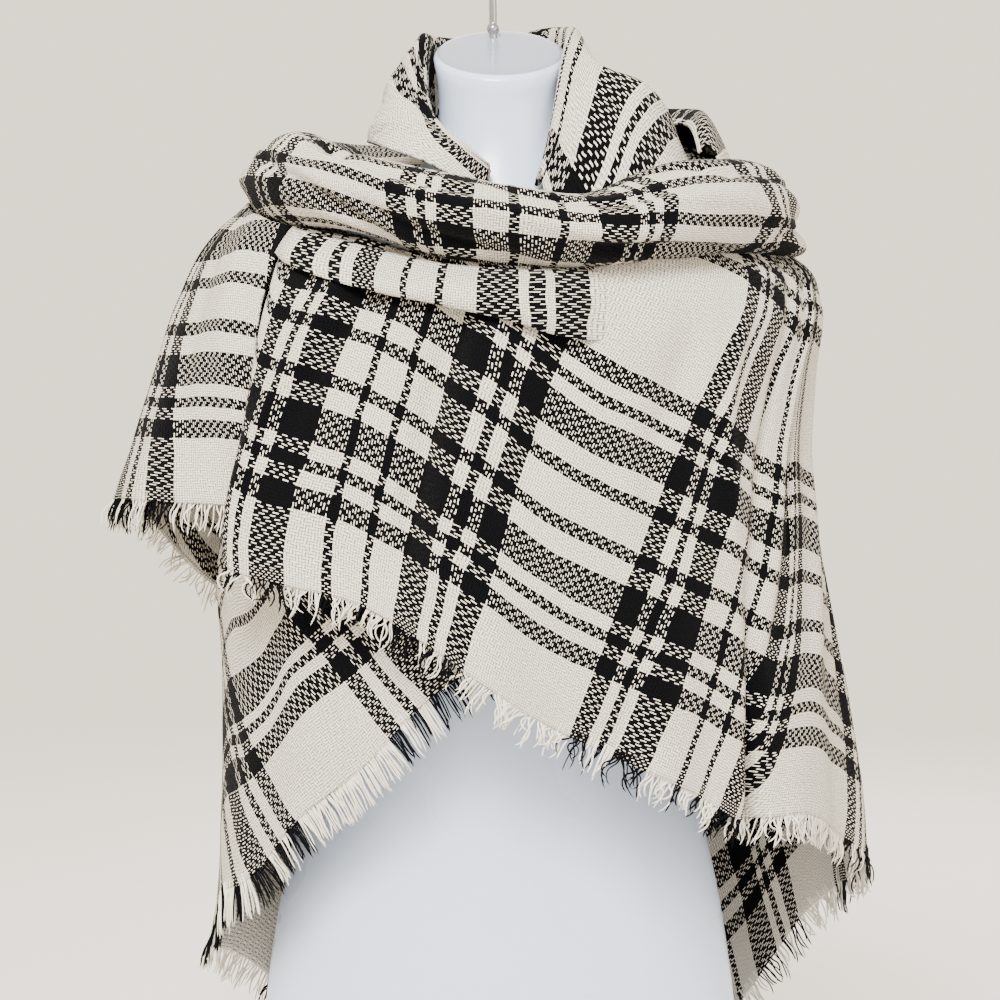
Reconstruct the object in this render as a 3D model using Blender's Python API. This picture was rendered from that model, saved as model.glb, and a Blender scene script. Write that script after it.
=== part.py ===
"""Blanket scarf, wound as a shawl on a limbless dress form that hangs or stands.

Metres, +Z up. The origin is the middle of the form's flat underside, and the front faces -Y.
Angles go round the form in degrees, from 0 at the front towards +X, 90 at the wearer's left side.
A sheet of cloth is drawn by its outer face, and Solidify gives it its wall inwards.
"""

import math
from collections import namedtuple

import bmesh
import bpy
from mathutils import Vector

# Driving dimensions
CLOTH = 0.002  # wall of one layer of cloth
ROLLED = 0.0026  # wall of a stretch that is rolled or turned over
SEAM = 0.0005  # from one stretch of cloth to the next
FRINGE_LENGTH = 0.024
FRINGE_SEAM = 0.0009  # from the cloth's edge to the strip that holds the fringe
FRINGE_STRIP = 0.003  # height of that strip
HANG = 0.5  # how strongly a lock's lower half turns downwards
FRINGE_WALL = 0.0014
LOCK_WIDTH = 0.0034
NECK_CAP_LEAN = 0.46  # the cap's slope, higher at the back
ROD_RADIUS = 0.003
ROD_PLACE = (-0.005, 0.030)
BORE_RADIUS = 0.0034
BORE_DEPTH = 0.014

BLUISH_WHITE = (0.80, 0.82, 0.88)
CREAM_AND_BLACK = (0.52, 0.50, 0.47)
CREAM = (0.82, 0.80, 0.74)
CHROME = (0.75, 0.75, 0.76)

# The form's level rings, from the floor to the neck cap. Lean tips a ring forward.
Ring = namedtuple("Ring", "z side front back lean")
FORM = [
    Ring(0.000, 0.160, 0.088, 0.092, 0.0),
    Ring(0.060, 0.172, 0.096, 0.102, 0.0),
    Ring(0.130, 0.178, 0.100, 0.108, 0.0),
    Ring(0.200, 0.173, 0.100, 0.106, 0.0),
    Ring(0.270, 0.163, 0.098, 0.098, 0.0),
    Ring(0.330, 0.150, 0.094, 0.088, 0.0),
    Ring(0.400, 0.132, 0.090, 0.080, 0.0),
    Ring(0.470, 0.124, 0.090, 0.076, 0.0),
    Ring(0.540, 0.134, 0.102, 0.080, 0.0),
    Ring(0.610, 0.148, 0.114, 0.088, 0.0),
    Ring(0.670, 0.156, 0.110, 0.092, 0.0),
    Ring(0.715, 0.158, 0.094, 0.088, 0.0),
    Ring(0.742, 0.152, 0.080, 0.080, 0.0),
    Ring(0.762, 0.134, 0.068, 0.072, 0.0),
    Ring(0.778, 0.110, 0.058, 0.064, 0.0),
    Ring(0.793, 0.084, 0.052, 0.057, 0.0),
    Ring(0.810, 0.060, 0.048, 0.051, 0.02),
    Ring(0.830, 0.047, 0.045, 0.046, 0.08),
    Ring(0.858, 0.0445, 0.0445, 0.0445, 0.24),
    Ring(0.886, 0.0475, 0.0475, 0.0475, NECK_CAP_LEAN),
]
CAP_RIM = 0.0060  # radius of the cap's rounded rim
CAP_Z = 0.8950  # the cap's face, on the axis
CAP_RADIUS = 0.0485

# What the outer turn of the shawl wraps: half widths to the wearer's right and left, and depths.
Envelope = namedtuple("Envelope", "z right left front back")
OUTER = [
    Envelope(0.00, 0.240, 0.262, 0.185, 0.165),
    Envelope(0.20, 0.255, 0.267, 0.180, 0.165),
    Envelope(0.30, 0.265, 0.266, 0.178, 0.163),
    Envelope(0.40, 0.275, 0.256, 0.175, 0.160),
    Envelope(0.50, 0.284, 0.240, 0.170, 0.154),
    Envelope(0.56, 0.285, 0.230, 0.166, 0.148),
    Envelope(0.61, 0.268, 0.223, 0.163, 0.143),
    Envelope(0.66, 0.252, 0.225, 0.158, 0.138),
    Envelope(0.700, 0.238, 0.231, 0.152, 0.133),
    Envelope(0.720, 0.229, 0.229, 0.145, 0.131),
    Envelope(0.732, 0.224, 0.226, 0.131, 0.129),
    Envelope(0.745, 0.217, 0.213, 0.120, 0.127),
    Envelope(0.755, 0.210, 0.198, 0.113, 0.121),
    Envelope(0.766, 0.201, 0.186, 0.108, 0.112),
    Envelope(0.775, 0.191, 0.178, 0.105, 0.107),
    Envelope(0.784, 0.183, 0.173, 0.103, 0.105),
]
# The inner turn hangs closer: it is the back's point and the panel under the front one.
INNER = [
    Envelope(0.00, 0.232, 0.262, 0.152, 0.152),
    Envelope(0.20, 0.222, 0.264, 0.151, 0.151),
    Envelope(0.27, 0.210, 0.264, 0.150, 0.150),
    Envelope(0.40, 0.205, 0.256, 0.149, 0.147),
    Envelope(0.55, 0.205, 0.230, 0.146, 0.138),
    Envelope(0.62, 0.201, 0.222, 0.141, 0.132),
    Envelope(0.70, 0.188, 0.221, 0.131, 0.124),
    Envelope(0.76, 0.172, 0.208, 0.114, 0.116),
    Envelope(0.84, 0.150, 0.190, 0.095, 0.106),
]

# Warp threads of the shawl, a row each: where on the cut edge it starts, measured along the cloth,
# the angle at its foot, half way up and at its head, the height of foot and head, and how far its
# foot stands out from the envelope.
Warp = namedtuple("Warp", "cloth foot middle head foot_z head_z lift")
FRONT = [
    Warp(-0.262, -38.0, -42.6, -46.0, 0.541, 0.7645, -0.007),
    Warp(-0.252, -41.6, -43.2, -45.4, 0.540, 0.7640, -0.002),
    Warp(-0.238, -40.6, -41.4, -42.6, 0.530, 0.7625, 0.005),
    Warp(-0.2165, -37.2, -36.6, -35.0, 0.524, 0.7590, 0.006),
    Warp(-0.148, -21.5, -18.5, -15.0, 0.508, 0.7432, 0.000),
    Warp(-0.0795, -10.0, -3.5, 3.5, 0.480, 0.7324, 0.004),
    Warp(0.000, 3.5, 12.5, 25.0, 0.434, 0.7353, 0.000),
    Warp(0.0795, 16.5, 30.0, 46.0, 0.404, 0.7425, 0.000),
    Warp(0.148, 29.0, 45.0, 60.0, 0.378, 0.7468, 0.002),
    Warp(0.2165, 39.5, 58.0, 72.0, 0.349, 0.7489, 0.000),
    Warp(0.296, 54.0, 70.0, 84.0, 0.341, 0.7500, 0.002),
    Warp(0.375, 72.0, 84.5, 96.0, 0.316, 0.7519, 0.000),
    Warp(0.444, 86.0, 97.0, 107.0, 0.302, 0.7535, 0.002),
    Warp(0.513, 101.0, 111.0, 118.0, 0.280, 0.7560, 0.000),
]
ARM = [
    Warp(-0.700, -150.0, -150.0, -150.0, 0.462, 0.7695, 0.004),
    Warp(-0.620, -132.0, -133.0, -135.0, 0.492, 0.7733, 0.006),
    Warp(-0.540, -113.0, -116.0, -118.0, 0.552, 0.7788, 0.000),
    Warp(-0.445, -92.0, -96.0, -99.0, 0.566, 0.7850, 0.002),
    Warp(-0.375, -75.0, -80.0, -84.0, 0.571, 0.7832, 0.000),
    Warp(-0.296, -54.0, -61.0, -64.0, 0.571, 0.7735, -0.002),
    Warp(-0.250, -40.0, -49.5, -52.0, 0.569, 0.7675, -0.011),
    Warp(-0.232, -33.0, -44.1, -46.5, 0.566, 0.7645, -0.013),
]
# The back's point, from the front panel's last thread round the back to the inner front panel.
BACK = [
    Warp(0.00, 101.5, 111.7, 118.6, 0.280, 0.7560, 0.000),
    Warp(0.05, 110.0, 119.0, 126.0, 0.268, 0.7575, 0.003),
    Warp(0.10, 119.0, 127.0, 134.0, 0.240, 0.7593, -0.002),
    Warp(0.16, 132.0, 138.0, 143.0, 0.178, 0.7610, 0.003),
    Warp(0.23, 148.0, 152.0, 155.0, 0.114, 0.7623, -0.003),
    Warp(0.30, 165.0, 167.0, 168.0, 0.060, 0.7633, 0.003),
    Warp(0.36, 180.0, 180.0, 180.0, 0.034, 0.7638, -0.002),
    Warp(0.42, 195.0, 193.0, 192.0, 0.060, 0.7642, 0.003),
    Warp(0.49, 211.0, 209.0, 208.0, 0.108, 0.7650, -0.003),
    Warp(0.56, 227.0, 225.0, 224.0, 0.168, 0.7620, 0.003),
    Warp(0.63, 243.0, 242.0, 241.0, 0.212, 0.7520, -0.002),
    Warp(0.70, 259.0, 259.0, 259.0, 0.234, 0.7350, 0.003),
    Warp(0.77, 275.0, 275.0, 275.0, 0.256, 0.7150, -0.001),
    Warp(0.84, 289.0, 290.0, 292.0, 0.287, 0.7000, 0.002),
    Warp(0.91, 303.0, 305.0, 308.0, 0.303, 0.6950, 0.000),
    Warp(0.98, 318.0, 321.0, 324.0, 0.353, 0.6900, 0.003),
    Warp(1.05, 333.0, 337.0, 341.0, 0.392, 0.6880, -0.002),
    Warp(1.12, 348.0, 352.0, 356.0, 0.443, 0.6860, 0.002),
    Warp(1.17, 362.0, 365.0, 368.0, 0.472, 0.6860, 0.000),
]
BACK_JOINS_OUTER = (118.0, 205.0)  # the back goes from the outer to the inner envelope between these

# Soft folds: angle at the hem and at the top, the heights between which they show, width, depth.
Fold = namedtuple("Fold", "foot head low high width depth")
OUTER_FOLDS = [
    Fold(-30.0, -26.0, 0.44, 0.68, 5.0, 0.006),
    Fold(-4.0, -3.0, 0.44, 0.74, 6.0, 0.010),
    Fold(8.0, 20.0, 0.38, 0.66, 6.0, -0.004),
    Fold(22.0, 38.0, 0.34, 0.72, 6.5, 0.007),
    Fold(34.0, 54.0, 0.30, 0.70, 4.5, 0.006),
    Fold(41.0, 50.0, 0.30, 0.54, 2.6, -0.017),
    Fold(50.0, 60.0, 0.30, 0.60, 5.0, 0.004),
    Fold(66.0, 82.0, 0.28, 0.74, 6.0, -0.005),
    Fold(80.0, 92.0, 0.26, 0.72, 6.0, 0.005),
    Fold(-66.0, -62.0, 0.54, 0.76, 8.0, 0.006),
    Fold(-98.0, -92.0, 0.50, 0.76, 8.0, -0.006),
    Fold(-120.0, -112.0, 0.44, 0.74, 8.0, 0.007),
]
INNER_FOLDS = [
    Fold(128.0, 134.0, 0.10, 0.70, 7.0, -0.008),
    Fold(144.0, 148.0, 0.06, 0.66, 7.0, 0.009),
    Fold(162.0, 164.0, 0.02, 0.72, 7.0, -0.009),
    Fold(179.0, 178.0, 0.02, 0.60, 7.0, 0.010),
    Fold(197.0, 194.0, 0.04, 0.70, 7.0, -0.010),
    Fold(215.0, 211.0, 0.08, 0.64, 7.0, 0.009),
    Fold(234.0, 230.0, 0.14, 0.66, 7.0, -0.008),
    Fold(252.0, 250.0, 0.20, 0.60, 8.0, 0.007),
    Fold(300.0, 304.0, 0.26, 0.60, 7.0, 0.006),
    Fold(322.0, 328.0, 0.30, 0.60, 6.0, -0.005),
    Fold(340.0, 344.0, 0.34, 0.60, 6.0, 0.005),
]

# The cowl roll's section goes round a centre line: its radius and height, and the half sizes.
Roll = namedtuple("Roll", "angle radius z across up")
COWL = [
    Roll(0.0, 0.118, 0.7660, 0.042, 0.0330),
    Roll(25.0, 0.130, 0.7625, 0.044, 0.0300),
    Roll(45.0, 0.150, 0.7720, 0.042, 0.0335),
    Roll(70.0, 0.172, 0.7790, 0.040, 0.0340),
    Roll(90.0, 0.174, 0.7790, 0.044, 0.0350),
    Roll(120.0, 0.155, 0.7950, 0.038, 0.0350),
    Roll(150.0, 0.125, 0.8000, 0.039, 0.0360),
    Roll(180.0, 0.109, 0.8000, 0.039, 0.0350),
    Roll(210.0, 0.119, 0.8000, 0.038, 0.0340),
    Roll(240.0, 0.138, 0.8030, 0.036, 0.0310),
    Roll(270.0, 0.146, 0.7980, 0.037, 0.0370),
    Roll(290.0, 0.147, 0.7970, 0.038, 0.0350),
    Roll(315.0, 0.138, 0.7900, 0.038, 0.0315),
    Roll(338.0, 0.123, 0.7755, 0.041, 0.0330),
    Roll(360.0, 0.118, 0.7660, 0.042, 0.0330),
]
COWL_TURN = (158.0, -142.0)  # the section starts against the neck, goes over the top and tucks under

# The under roll: its lower edge, its upper edge and how far it swells from the front panel.
Under = namedtuple("Under", "angle low high swell")
UNDER_ROLL = [
    Under(-68.0, 0.764, 0.7710, 0.003),
    Under(-56.0, 0.754, 0.7680, 0.006),
    Under(-44.0, 0.742, 0.7620, 0.009),
    Under(-34.0, 0.730, 0.7560, 0.012),
    Under(-19.0, 0.715, 0.7440, 0.014),
    Under(-9.0, 0.707, 0.7360, 0.015),
    Under(2.0, 0.696, 0.7325, 0.015),
    Under(10.0, 0.686, 0.7325, 0.012),
    Under(18.0, 0.684, 0.7325, 0.007),
    Under(26.0, 0.692, 0.7340, 0.003),
]

# The collar stands round the neck and turns over outwards: radius and height of its inner foot,
# of its turned edge and of its outer foot, the swell of its outer face, and the dip above that.
Collar = namedtuple("Collar", "angle in_r in_z top_r top_z out_r out_z swell dip")
COLLAR = [
    Collar(24.0, 0.0590, 0.797, 0.0680, 0.808, 0.0790, 0.7970, 0.000, 0.000),
    Collar(33.0, 0.0570, 0.804, 0.0630, 0.825, 0.0900, 0.7970, 0.001, 0.000),
    Collar(45.0, 0.0545, 0.818, 0.0580, 0.852, 0.1160, 0.8000, 0.003, 0.001),
    Collar(58.0, 0.0525, 0.828, 0.0560, 0.886, 0.1300, 0.8050, 0.005, 0.003),
    Collar(72.0, 0.0500, 0.834, 0.0550, 0.905, 0.1400, 0.8085, 0.009, 0.006),
    Collar(90.0, 0.0490, 0.838, 0.0540, 0.911, 0.1400, 0.8095, 0.014, 0.009),
    Collar(115.0, 0.0485, 0.840, 0.0560, 0.916, 0.1280, 0.8220, 0.012, 0.008),
    Collar(150.0, 0.0482, 0.842, 0.0620, 0.918, 0.0960, 0.8300, 0.008, 0.002),
    Collar(180.0, 0.0482, 0.842, 0.0650, 0.913, 0.0810, 0.8300, 0.006, 0.000),
    Collar(210.0, 0.0482, 0.842, 0.0640, 0.911, 0.0860, 0.8290, 0.006, 0.000),
    Collar(240.0, 0.0484, 0.841, 0.0590, 0.910, 0.0940, 0.8290, 0.007, 0.000),
    Collar(270.0, 0.0500, 0.837, 0.0560, 0.906, 0.0960, 0.8285, 0.008, 0.000),
    Collar(290.0, 0.0520, 0.832, 0.0600, 0.879, 0.0980, 0.8265, 0.006, 0.000),
    Collar(308.0, 0.0570, 0.822, 0.0650, 0.852, 0.0990, 0.8200, 0.003, 0.000),
    Collar(325.0, 0.0590, 0.810, 0.0660, 0.834, 0.0940, 0.8110, 0.001, 0.000),
    Collar(340.0, 0.0590, 0.802, 0.0640, 0.821, 0.0850, 0.8030, 0.000, 0.000),
    Collar(353.0, 0.0580, 0.796, 0.0630, 0.811, 0.0740, 0.7960, 0.000, 0.000),
]
COLLAR_TURN = 0.005

# The fold between collar and cowl roll on the wearer's left back shoulder.
Shoulder = namedtuple("Shoulder", "angle in_r in_z crest_r crest_z out_r out_z")
SHOULDER_FOLD = [
    Shoulder(72.0, 0.1480, 0.8175, 0.156, 0.820, 0.168, 0.8172),
    Shoulder(84.0, 0.1390, 0.8300, 0.151, 0.835, 0.172, 0.8182),
    Shoulder(98.0, 0.1340, 0.8360, 0.151, 0.844, 0.176, 0.8190),
    Shoulder(115.0, 0.1300, 0.8420, 0.148, 0.852, 0.176, 0.8280),
    Shoulder(135.0, 0.118, 0.846, 0.134, 0.856, 0.160, 0.840),
    Shoulder(152.0, 0.112, 0.848, 0.122, 0.855, 0.142, 0.842),
]

# The hanging hook above the cap, across from the rod's axis and up.
HOOK_ROUTE = [
    (0.0, 0.8955), (0.0, 0.9105), (0.0, 0.9240), (0.0, 0.9440), (0.0030, 0.9560), (0.0120, 0.9660),
    (0.0200, 0.9790), (0.0190, 0.9940), (0.0100, 1.0050), (-0.0040, 1.0070), (-0.0150, 0.9990),
    (-0.0190, 0.9860), (-0.0170, 0.9760),
]
BEAD_RADIUS = 0.0048
BEAD_RISE = 0.0062  # its middle above the cap's face

# Frayed edges: the stretch of the table they follow, the number of locks and their length.
Fringe = namedtuple("Fringe", "first last locks length")
FRONT_FRINGE = Fringe(-0.246, 0.505, 62, FRINGE_LENGTH)
ARM_FRINGE = Fringe(-0.694, -0.262, 36, FRINGE_LENGTH)
BACK_FRINGE = Fringe(0.006, 0.775, 62, FRINGE_LENGTH)
INNER_FRINGE = Fringe(0.782, 1.150, 36, 0.026)


def along(rows, place):
    """The columns after the first, on a smooth curve through the rows, at a value of the first."""
    last = len(rows) - 1
    if place <= rows[0][0]:
        return rows[0][1:]
    if place >= rows[last][0]:
        return rows[last][1:]
    here = max(i for i in range(last) if rows[i][0] <= place)
    a, b = rows[here], rows[here + 1]
    before, after = rows[max(here - 1, 0)], rows[min(here + 2, last)]
    step = b[0] - a[0]
    t = (place - a[0]) / step
    values = []
    for k in range(1, len(a)):
        slope_a = (b[k] - before[k]) / (b[0] - before[0]) * step
        slope_b = (after[k] - a[k]) / (after[0] - a[0]) * step
        rise = b[k] - a[k]
        value = a[k] + t * slope_a + t * t * (3 * rise - 2 * slope_a - slope_b)
        values.append(value + t * t * t * (slope_a + slope_b - 2 * rise))
    return values


def soft(t):
    """0 to 1 with level ends."""
    t = min(max(t, 0.0), 1.0)
    return t * t * (3 - 2 * t)


def fold_lift(folds, angle, z):
    """How far the folds lift the cloth at this place."""
    lift = 0.0
    for fold in folds:
        up = min(max((z - fold.low) / (fold.high - fold.low), 0.0), 1.0)
        off = (angle - fold.foot - (fold.head - fold.foot) * up) / fold.width
        lift += fold.depth * (1 - soft(up)) * math.exp(-off * off)
    return lift


def on_envelope(angle, z, lift, inside):
    """A point on the outer envelope, on the inner one at inside 1, or between, moved out by lift."""
    outer, inner = along(OUTER, z), along(INNER, z)
    right, left, front, back = (a + (b - a) * inside for a, b in zip(outer, inner))
    turn = math.radians(angle)
    side = left if math.sin(turn) > 0 else right
    depth = front if math.cos(turn) > 0 else back
    return Vector(((side + lift) * math.sin(turn), -(depth + lift) * math.cos(turn), z))


def warp_point(rows, cloth, rise, inside=None):
    """The shawl's outer face at a place along the cut edge, and rise from 0 at the hem to 1."""
    foot, middle, head, foot_z, head_z, lift = along(rows, cloth)
    lean = 2 * (foot + head - 2 * middle) * rise * rise + (4 * middle - 3 * foot - head) * rise
    angle = foot + lean
    z = foot_z + (head_z - foot_z) * rise
    if inside is None:
        folds = fold_lift(OUTER_FOLDS, angle, z) * soft((1 - rise) * 5)
        return on_envelope(angle, z, lift * (1 - rise) + folds, 0.0)
    start, end = BACK_JOINS_OUTER
    depth = inside * soft((angle - start) / (end - start))
    folds = fold_lift(INNER_FOLDS, angle, z) * soft((1 - rise) * 5)
    return on_envelope(angle, z, lift * (1 - rise) + folds, depth)


def front_point(cloth, rise):
    return warp_point(FRONT, cloth, rise)


def arm_point(cloth, rise):
    return warp_point(ARM, cloth, rise)


def back_point(cloth, rise):
    return warp_point(BACK, cloth, rise, inside=1.0)


def finish(name, mesh, colour, roughness, metallic=0.0):
    """An object with its own material from a bmesh."""
    data = bpy.data.meshes.new(name)
    mesh.to_mesh(data)
    mesh.free()
    data.shade_smooth()
    material = bpy.data.materials.new(name)
    material.use_nodes = True
    shader = material.node_tree.nodes["Principled BSDF"]
    shader.inputs["Base Color"].default_value = (*colour, 1.0)
    shader.inputs["Roughness"].default_value = roughness
    shader.inputs["Metallic"].default_value = metallic
    data.materials.append(material)
    obj = bpy.data.objects.new(name, data)
    bpy.context.scene.collection.objects.link(obj)
    return obj


def grid(columns, rows, point, closed=False):
    """A bmesh grid laid on point(u, v), u and v from 0 to 1. A closed one is joined along u."""
    mesh = bmesh.new()
    bmesh.ops.create_grid(mesh, x_segments=columns, y_segments=rows, size=0.5)
    for vert in mesh.verts:
        vert.co = point(vert.co.x + 0.5, vert.co.y + 0.5)
    if closed:
        bmesh.ops.remove_doubles(mesh, verts=mesh.verts, dist=1e-6)
    return mesh


def cloth_piece(name, mesh, wall):
    """A sheet with its wall inwards from the outer face."""
    obj = finish(name, mesh, CREAM_AND_BLACK, 0.9)
    solidify = obj.modifiers.new("wall", "SOLIDIFY")
    solidify.thickness = wall
    solidify.offset = -1.0
    return obj


def close_ends(mesh):
    open_edges = [edge for edge in mesh.edges if edge.is_boundary]
    bmesh.ops.holes_fill(mesh, edges=open_edges, sides=0)


def clear_scene():
    for obj in list(bpy.data.objects):
        bpy.data.objects.remove(obj)


def dress_form():
    """The torso with its neck cap: a turned-in rim, a flat face that leans, and the hook's bore."""
    rim = [Ring(CAP_Z - CAP_RIM * (1 - math.sin(a)), CAP_RADIUS - CAP_RIM * (1 - math.cos(a)),
                CAP_RADIUS - CAP_RIM * (1 - math.cos(a)), CAP_RADIUS - CAP_RIM * (1 - math.cos(a)),
                NECK_CAP_LEAN) for a in (0.0, math.radians(45), math.radians(90))]
    rings = FORM + rim
    heights = [0.0]
    for a, b in zip(rings, rings[1:]):
        heights += [a.z + (b.z - a.z) * 0.5, b.z] if b.z - a.z > 0.08 else [b.z]

    def skin(u, v):
        z = heights[round(v * (len(heights) - 1))]
        side, front, back, lean = along(rings, z)
        turn = 2 * math.pi * u
        y = -(front if math.cos(turn) > 0 else back) * math.cos(turn)
        return Vector((side * math.sin(turn), y, z + lean * y))

    mesh = grid(32, len(heights) - 1, skin, closed=True)
    close_ends(mesh)
    form = finish("form_torso", mesh, BLUISH_WHITE, 0.3)

    face_z = CAP_Z + NECK_CAP_LEAN * ROD_PLACE[1]
    cutter = bmesh.new()
    bmesh.ops.create_cone(cutter, cap_ends=True, segments=24, radius1=BORE_RADIUS,
                          radius2=BORE_RADIUS, depth=2 * BORE_DEPTH)
    bmesh.ops.translate(cutter, verts=cutter.verts, vec=(*ROD_PLACE, face_z))
    bore = finish("hook_bore", cutter, CHROME, 0.3)
    bore.hide_render = True
    bore.display_type = "WIRE"
    cut = form.modifiers.new("bore", "BOOLEAN")
    cut.operation = "DIFFERENCE"
    cut.object = bore


def hanging_hook():
    """A chromed rod with a bead at its foot, bent to a hook at the top. It turns in the cap."""
    steps = 36
    rows = [(k, *place) for k, place in enumerate(HOOK_ROUTE)]
    bead_z = CAP_Z + NECK_CAP_LEAN * ROD_PLACE[1] + BEAD_RISE

    def centre(v):
        return along(rows, min(max(v, 0.0), 1.0) * (len(rows) - 1))

    def skin(u, v):
        across, z = centre(v)
        ahead, behind = centre(v + 0.01), centre(v - 0.01)
        run, rise = ahead[0] - behind[0], ahead[1] - behind[1]
        length = math.hypot(run, rise)
        radius = ROD_RADIUS
        if abs(z - bead_z) < BEAD_RADIUS:
            radius = max(radius, math.sqrt(BEAD_RADIUS ** 2 - (z - bead_z) ** 2))
        turn = 2 * math.pi * u
        out = radius * math.sin(turn)
        return Vector((ROD_PLACE[0] + across + out * rise / length,
                       ROD_PLACE[1] - radius * math.cos(turn), z - out * run / length))

    mesh = grid(10, steps, skin, closed=True)
    close_ends(mesh)
    finish("hanging_hook", mesh, CHROME, 0.15, metallic=1.0)


def shawl():
    def part(rows, point):
        first, last = rows[0].cloth, rows[-1].cloth
        return lambda u, v: point(first + (last - first) * u, v)

    cloth_piece("front_panel", grid(44, 11, part(FRONT, front_point)), CLOTH)
    cloth_piece("left_arm_panel", grid(22, 8, part(ARM, arm_point)), CLOTH)
    cloth_piece("back_shawl", grid(58, 9, part(BACK, back_point)), CLOTH)


def cowl_roll():
    def skin(u, v):
        angle = 360.0 * (1 - u)
        radius, z, across, up = along(COWL, angle)
        start, end = COWL_TURN
        turn = math.radians(start + (end - start) * v)
        reach = radius + across * math.cos(turn)
        return Vector((reach * math.sin(math.radians(angle)), -reach * math.cos(math.radians(angle)),
                       z + up * math.sin(turn)))

    cloth_piece("cowl_roll", grid(44, 9, skin, closed=True), ROLLED)


def front_outside(angle, z, lift):
    """A place on the front panel's outer face by angle and height, moved out by lift."""
    return on_envelope(angle, z, lift + fold_lift(OUTER_FOLDS, angle, z), 0.0)


def under_roll():
    first, last = UNDER_ROLL[0].angle, UNDER_ROLL[-1].angle

    def skin(u, v):
        angle = first + (last - first) * u
        low, high, swell = along(UNDER_ROLL, angle)
        z = low + (high - low) * v
        bulge = swell * math.sqrt(max(1 - (2 * v - 0.92) ** 2 / 1.2, 0.0))
        return front_outside(angle, z, CLOTH + SEAM + bulge)

    cloth_piece("under_roll", grid(26, 5, skin), CLOTH)


def collar():
    first, last = COLLAR[0].angle, COLLAR[-1].angle

    def skin(u, v):
        angle = last + (first - last) * u
        in_r, in_z, top_r, top_z, out_r, out_z, swell, dip = along(COLLAR, angle)
        fall = Vector((out_r - top_r, out_z - top_z))
        away = Vector((-fall.y, fall.x)).normalized()
        hollow = Vector((top_r, top_z)) + 0.25 * fall + (swell / 2 - dip) * away
        middle = Vector((top_r, top_z)) + 0.5 * fall + swell * away
        section = [
            (0.0, in_r, in_z),
            (0.18, (in_r + top_r) / 2 - 0.002, (in_z + top_z) / 2),
            (0.36, top_r - COLLAR_TURN, top_z - COLLAR_TURN),
            (0.46, top_r, top_z),
            (0.56, top_r + COLLAR_TURN, top_z - COLLAR_TURN * 0.8),
            (0.67, hollow.x, hollow.y),
            (0.78, middle.x, middle.y),
            (1.0, out_r, out_z),
        ]
        radius, z = along(section, v)
        return Vector((radius * math.sin(math.radians(angle)),
                       -radius * math.cos(math.radians(angle)), z))

    cloth_piece("collar", grid(34, 8, skin), ROLLED)


def shoulder_fold():
    first, last = SHOULDER_FOLD[0].angle, SHOULDER_FOLD[-1].angle

    def skin(u, v):
        angle = last + (first - last) * u
        in_r, in_z, crest_r, crest_z, out_r, out_z = along(SHOULDER_FOLD, angle)
        section = [(0.0, in_r, in_z), (0.4, crest_r, crest_z), (1.0, out_r, out_z)]
        radius, z = along(section, v)
        return Vector((radius * math.sin(math.radians(angle)),
                       -radius * math.cos(math.radians(angle)), z))

    cloth_piece("shoulder_fold", grid(14, 4, skin), CLOTH)


def fringe(name, kind, point, bends=2):
    """A narrow strip below a cut edge, with locks that grow out of its lower face."""
    pitch = (kind.last - kind.first) / kind.locks

    def edge(cloth):
        """The hem at this place, the way straight off the cloth, and outwards."""
        hem, above, beside = point(cloth, 0.0), point(cloth, 0.02), point(cloth + 1e-3, 0.0)
        out = (beside - hem).cross(above - hem).normalized()
        return hem, (beside - hem).cross(out).normalized(), out

    stops = []
    for k in range(kind.locks):
        middle = kind.first + (k + 0.5) * pitch
        stops += [middle - LOCK_WIDTH / 2, middle + LOCK_WIDTH / 2]

    def face(u, v):
        hem, off, out = edge(stops[round(u * (len(stops) - 1))])
        return hem + off * (FRINGE_SEAM + FRINGE_STRIP * (1 - v)) - out * (CLOTH - FRINGE_WALL) / 2

    mesh = grid(len(stops) - 1, 1, face)
    mesh.verts.ensure_lookup_table()
    count = len(stops)
    column = mesh.verts.layers.int.new("column")
    lower = mesh.verts.layers.int.new("lower")
    for index, vert in enumerate(mesh.verts):
        vert[column] = index % count
        vert[lower] = int(index < count)
    grown = bmesh.ops.extrude_face_region(mesh, geom=list(mesh.faces), use_keep_orig=True)
    for vert in (item for item in grown["geom"] if isinstance(item, bmesh.types.BMVert)):
        vert.co -= edge(stops[vert[column]])[2] * FRINGE_WALL
    bmesh.ops.recalc_face_normals(mesh, faces=mesh.faces)

    roots = []
    for side in mesh.faces:
        columns = {vert[column] for vert in side.verts}
        if all(vert[lower] for vert in side.verts) and len(columns) == 2 and min(columns) % 2 == 0:
            roots.append((min(columns), side))
    for index, side in roots:
        hem, off, out = edge(stops[index])
        sideways = out.cross(off)
        swing = 0.22 * math.sin(2.3 * index) + 0.12 * math.sin(5.1 * index + 1)
        for bend in range(bends):
            side = bmesh.ops.extrude_discrete_faces(mesh, faces=[side])["faces"][0]
            step = (kind.length - FRINGE_STRIP) / bends * (1 + 0.12 * math.sin(3.7 * index))
            way = off + sideways * swing * (1 if bend else 0.4) + out * 0.10 * math.sin(1.7 * index)
            if bend:
                way += Vector((0, 0, -HANG))
            middle = side.calc_center_median()
            for vert in side.verts:
                vert.co = middle + (vert.co - middle) * 0.72 + way.normalized() * step
    bmesh.ops.recalc_face_normals(mesh, faces=mesh.faces)
    finish(name, mesh, CREAM, 0.9)


def main():
    clear_scene()
    dress_form()
    hanging_hook()
    shawl()
    cowl_roll()
    under_roll()
    collar()
    shoulder_fold()
    fringe("front_fringe", FRONT_FRINGE, front_point)
    fringe("arm_fringe", ARM_FRINGE, arm_point)
    fringe("back_fringe", BACK_FRINGE, back_point, bends=1)
    fringe("inner_fringe", INNER_FRINGE, back_point, bends=1)


main()
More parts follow.
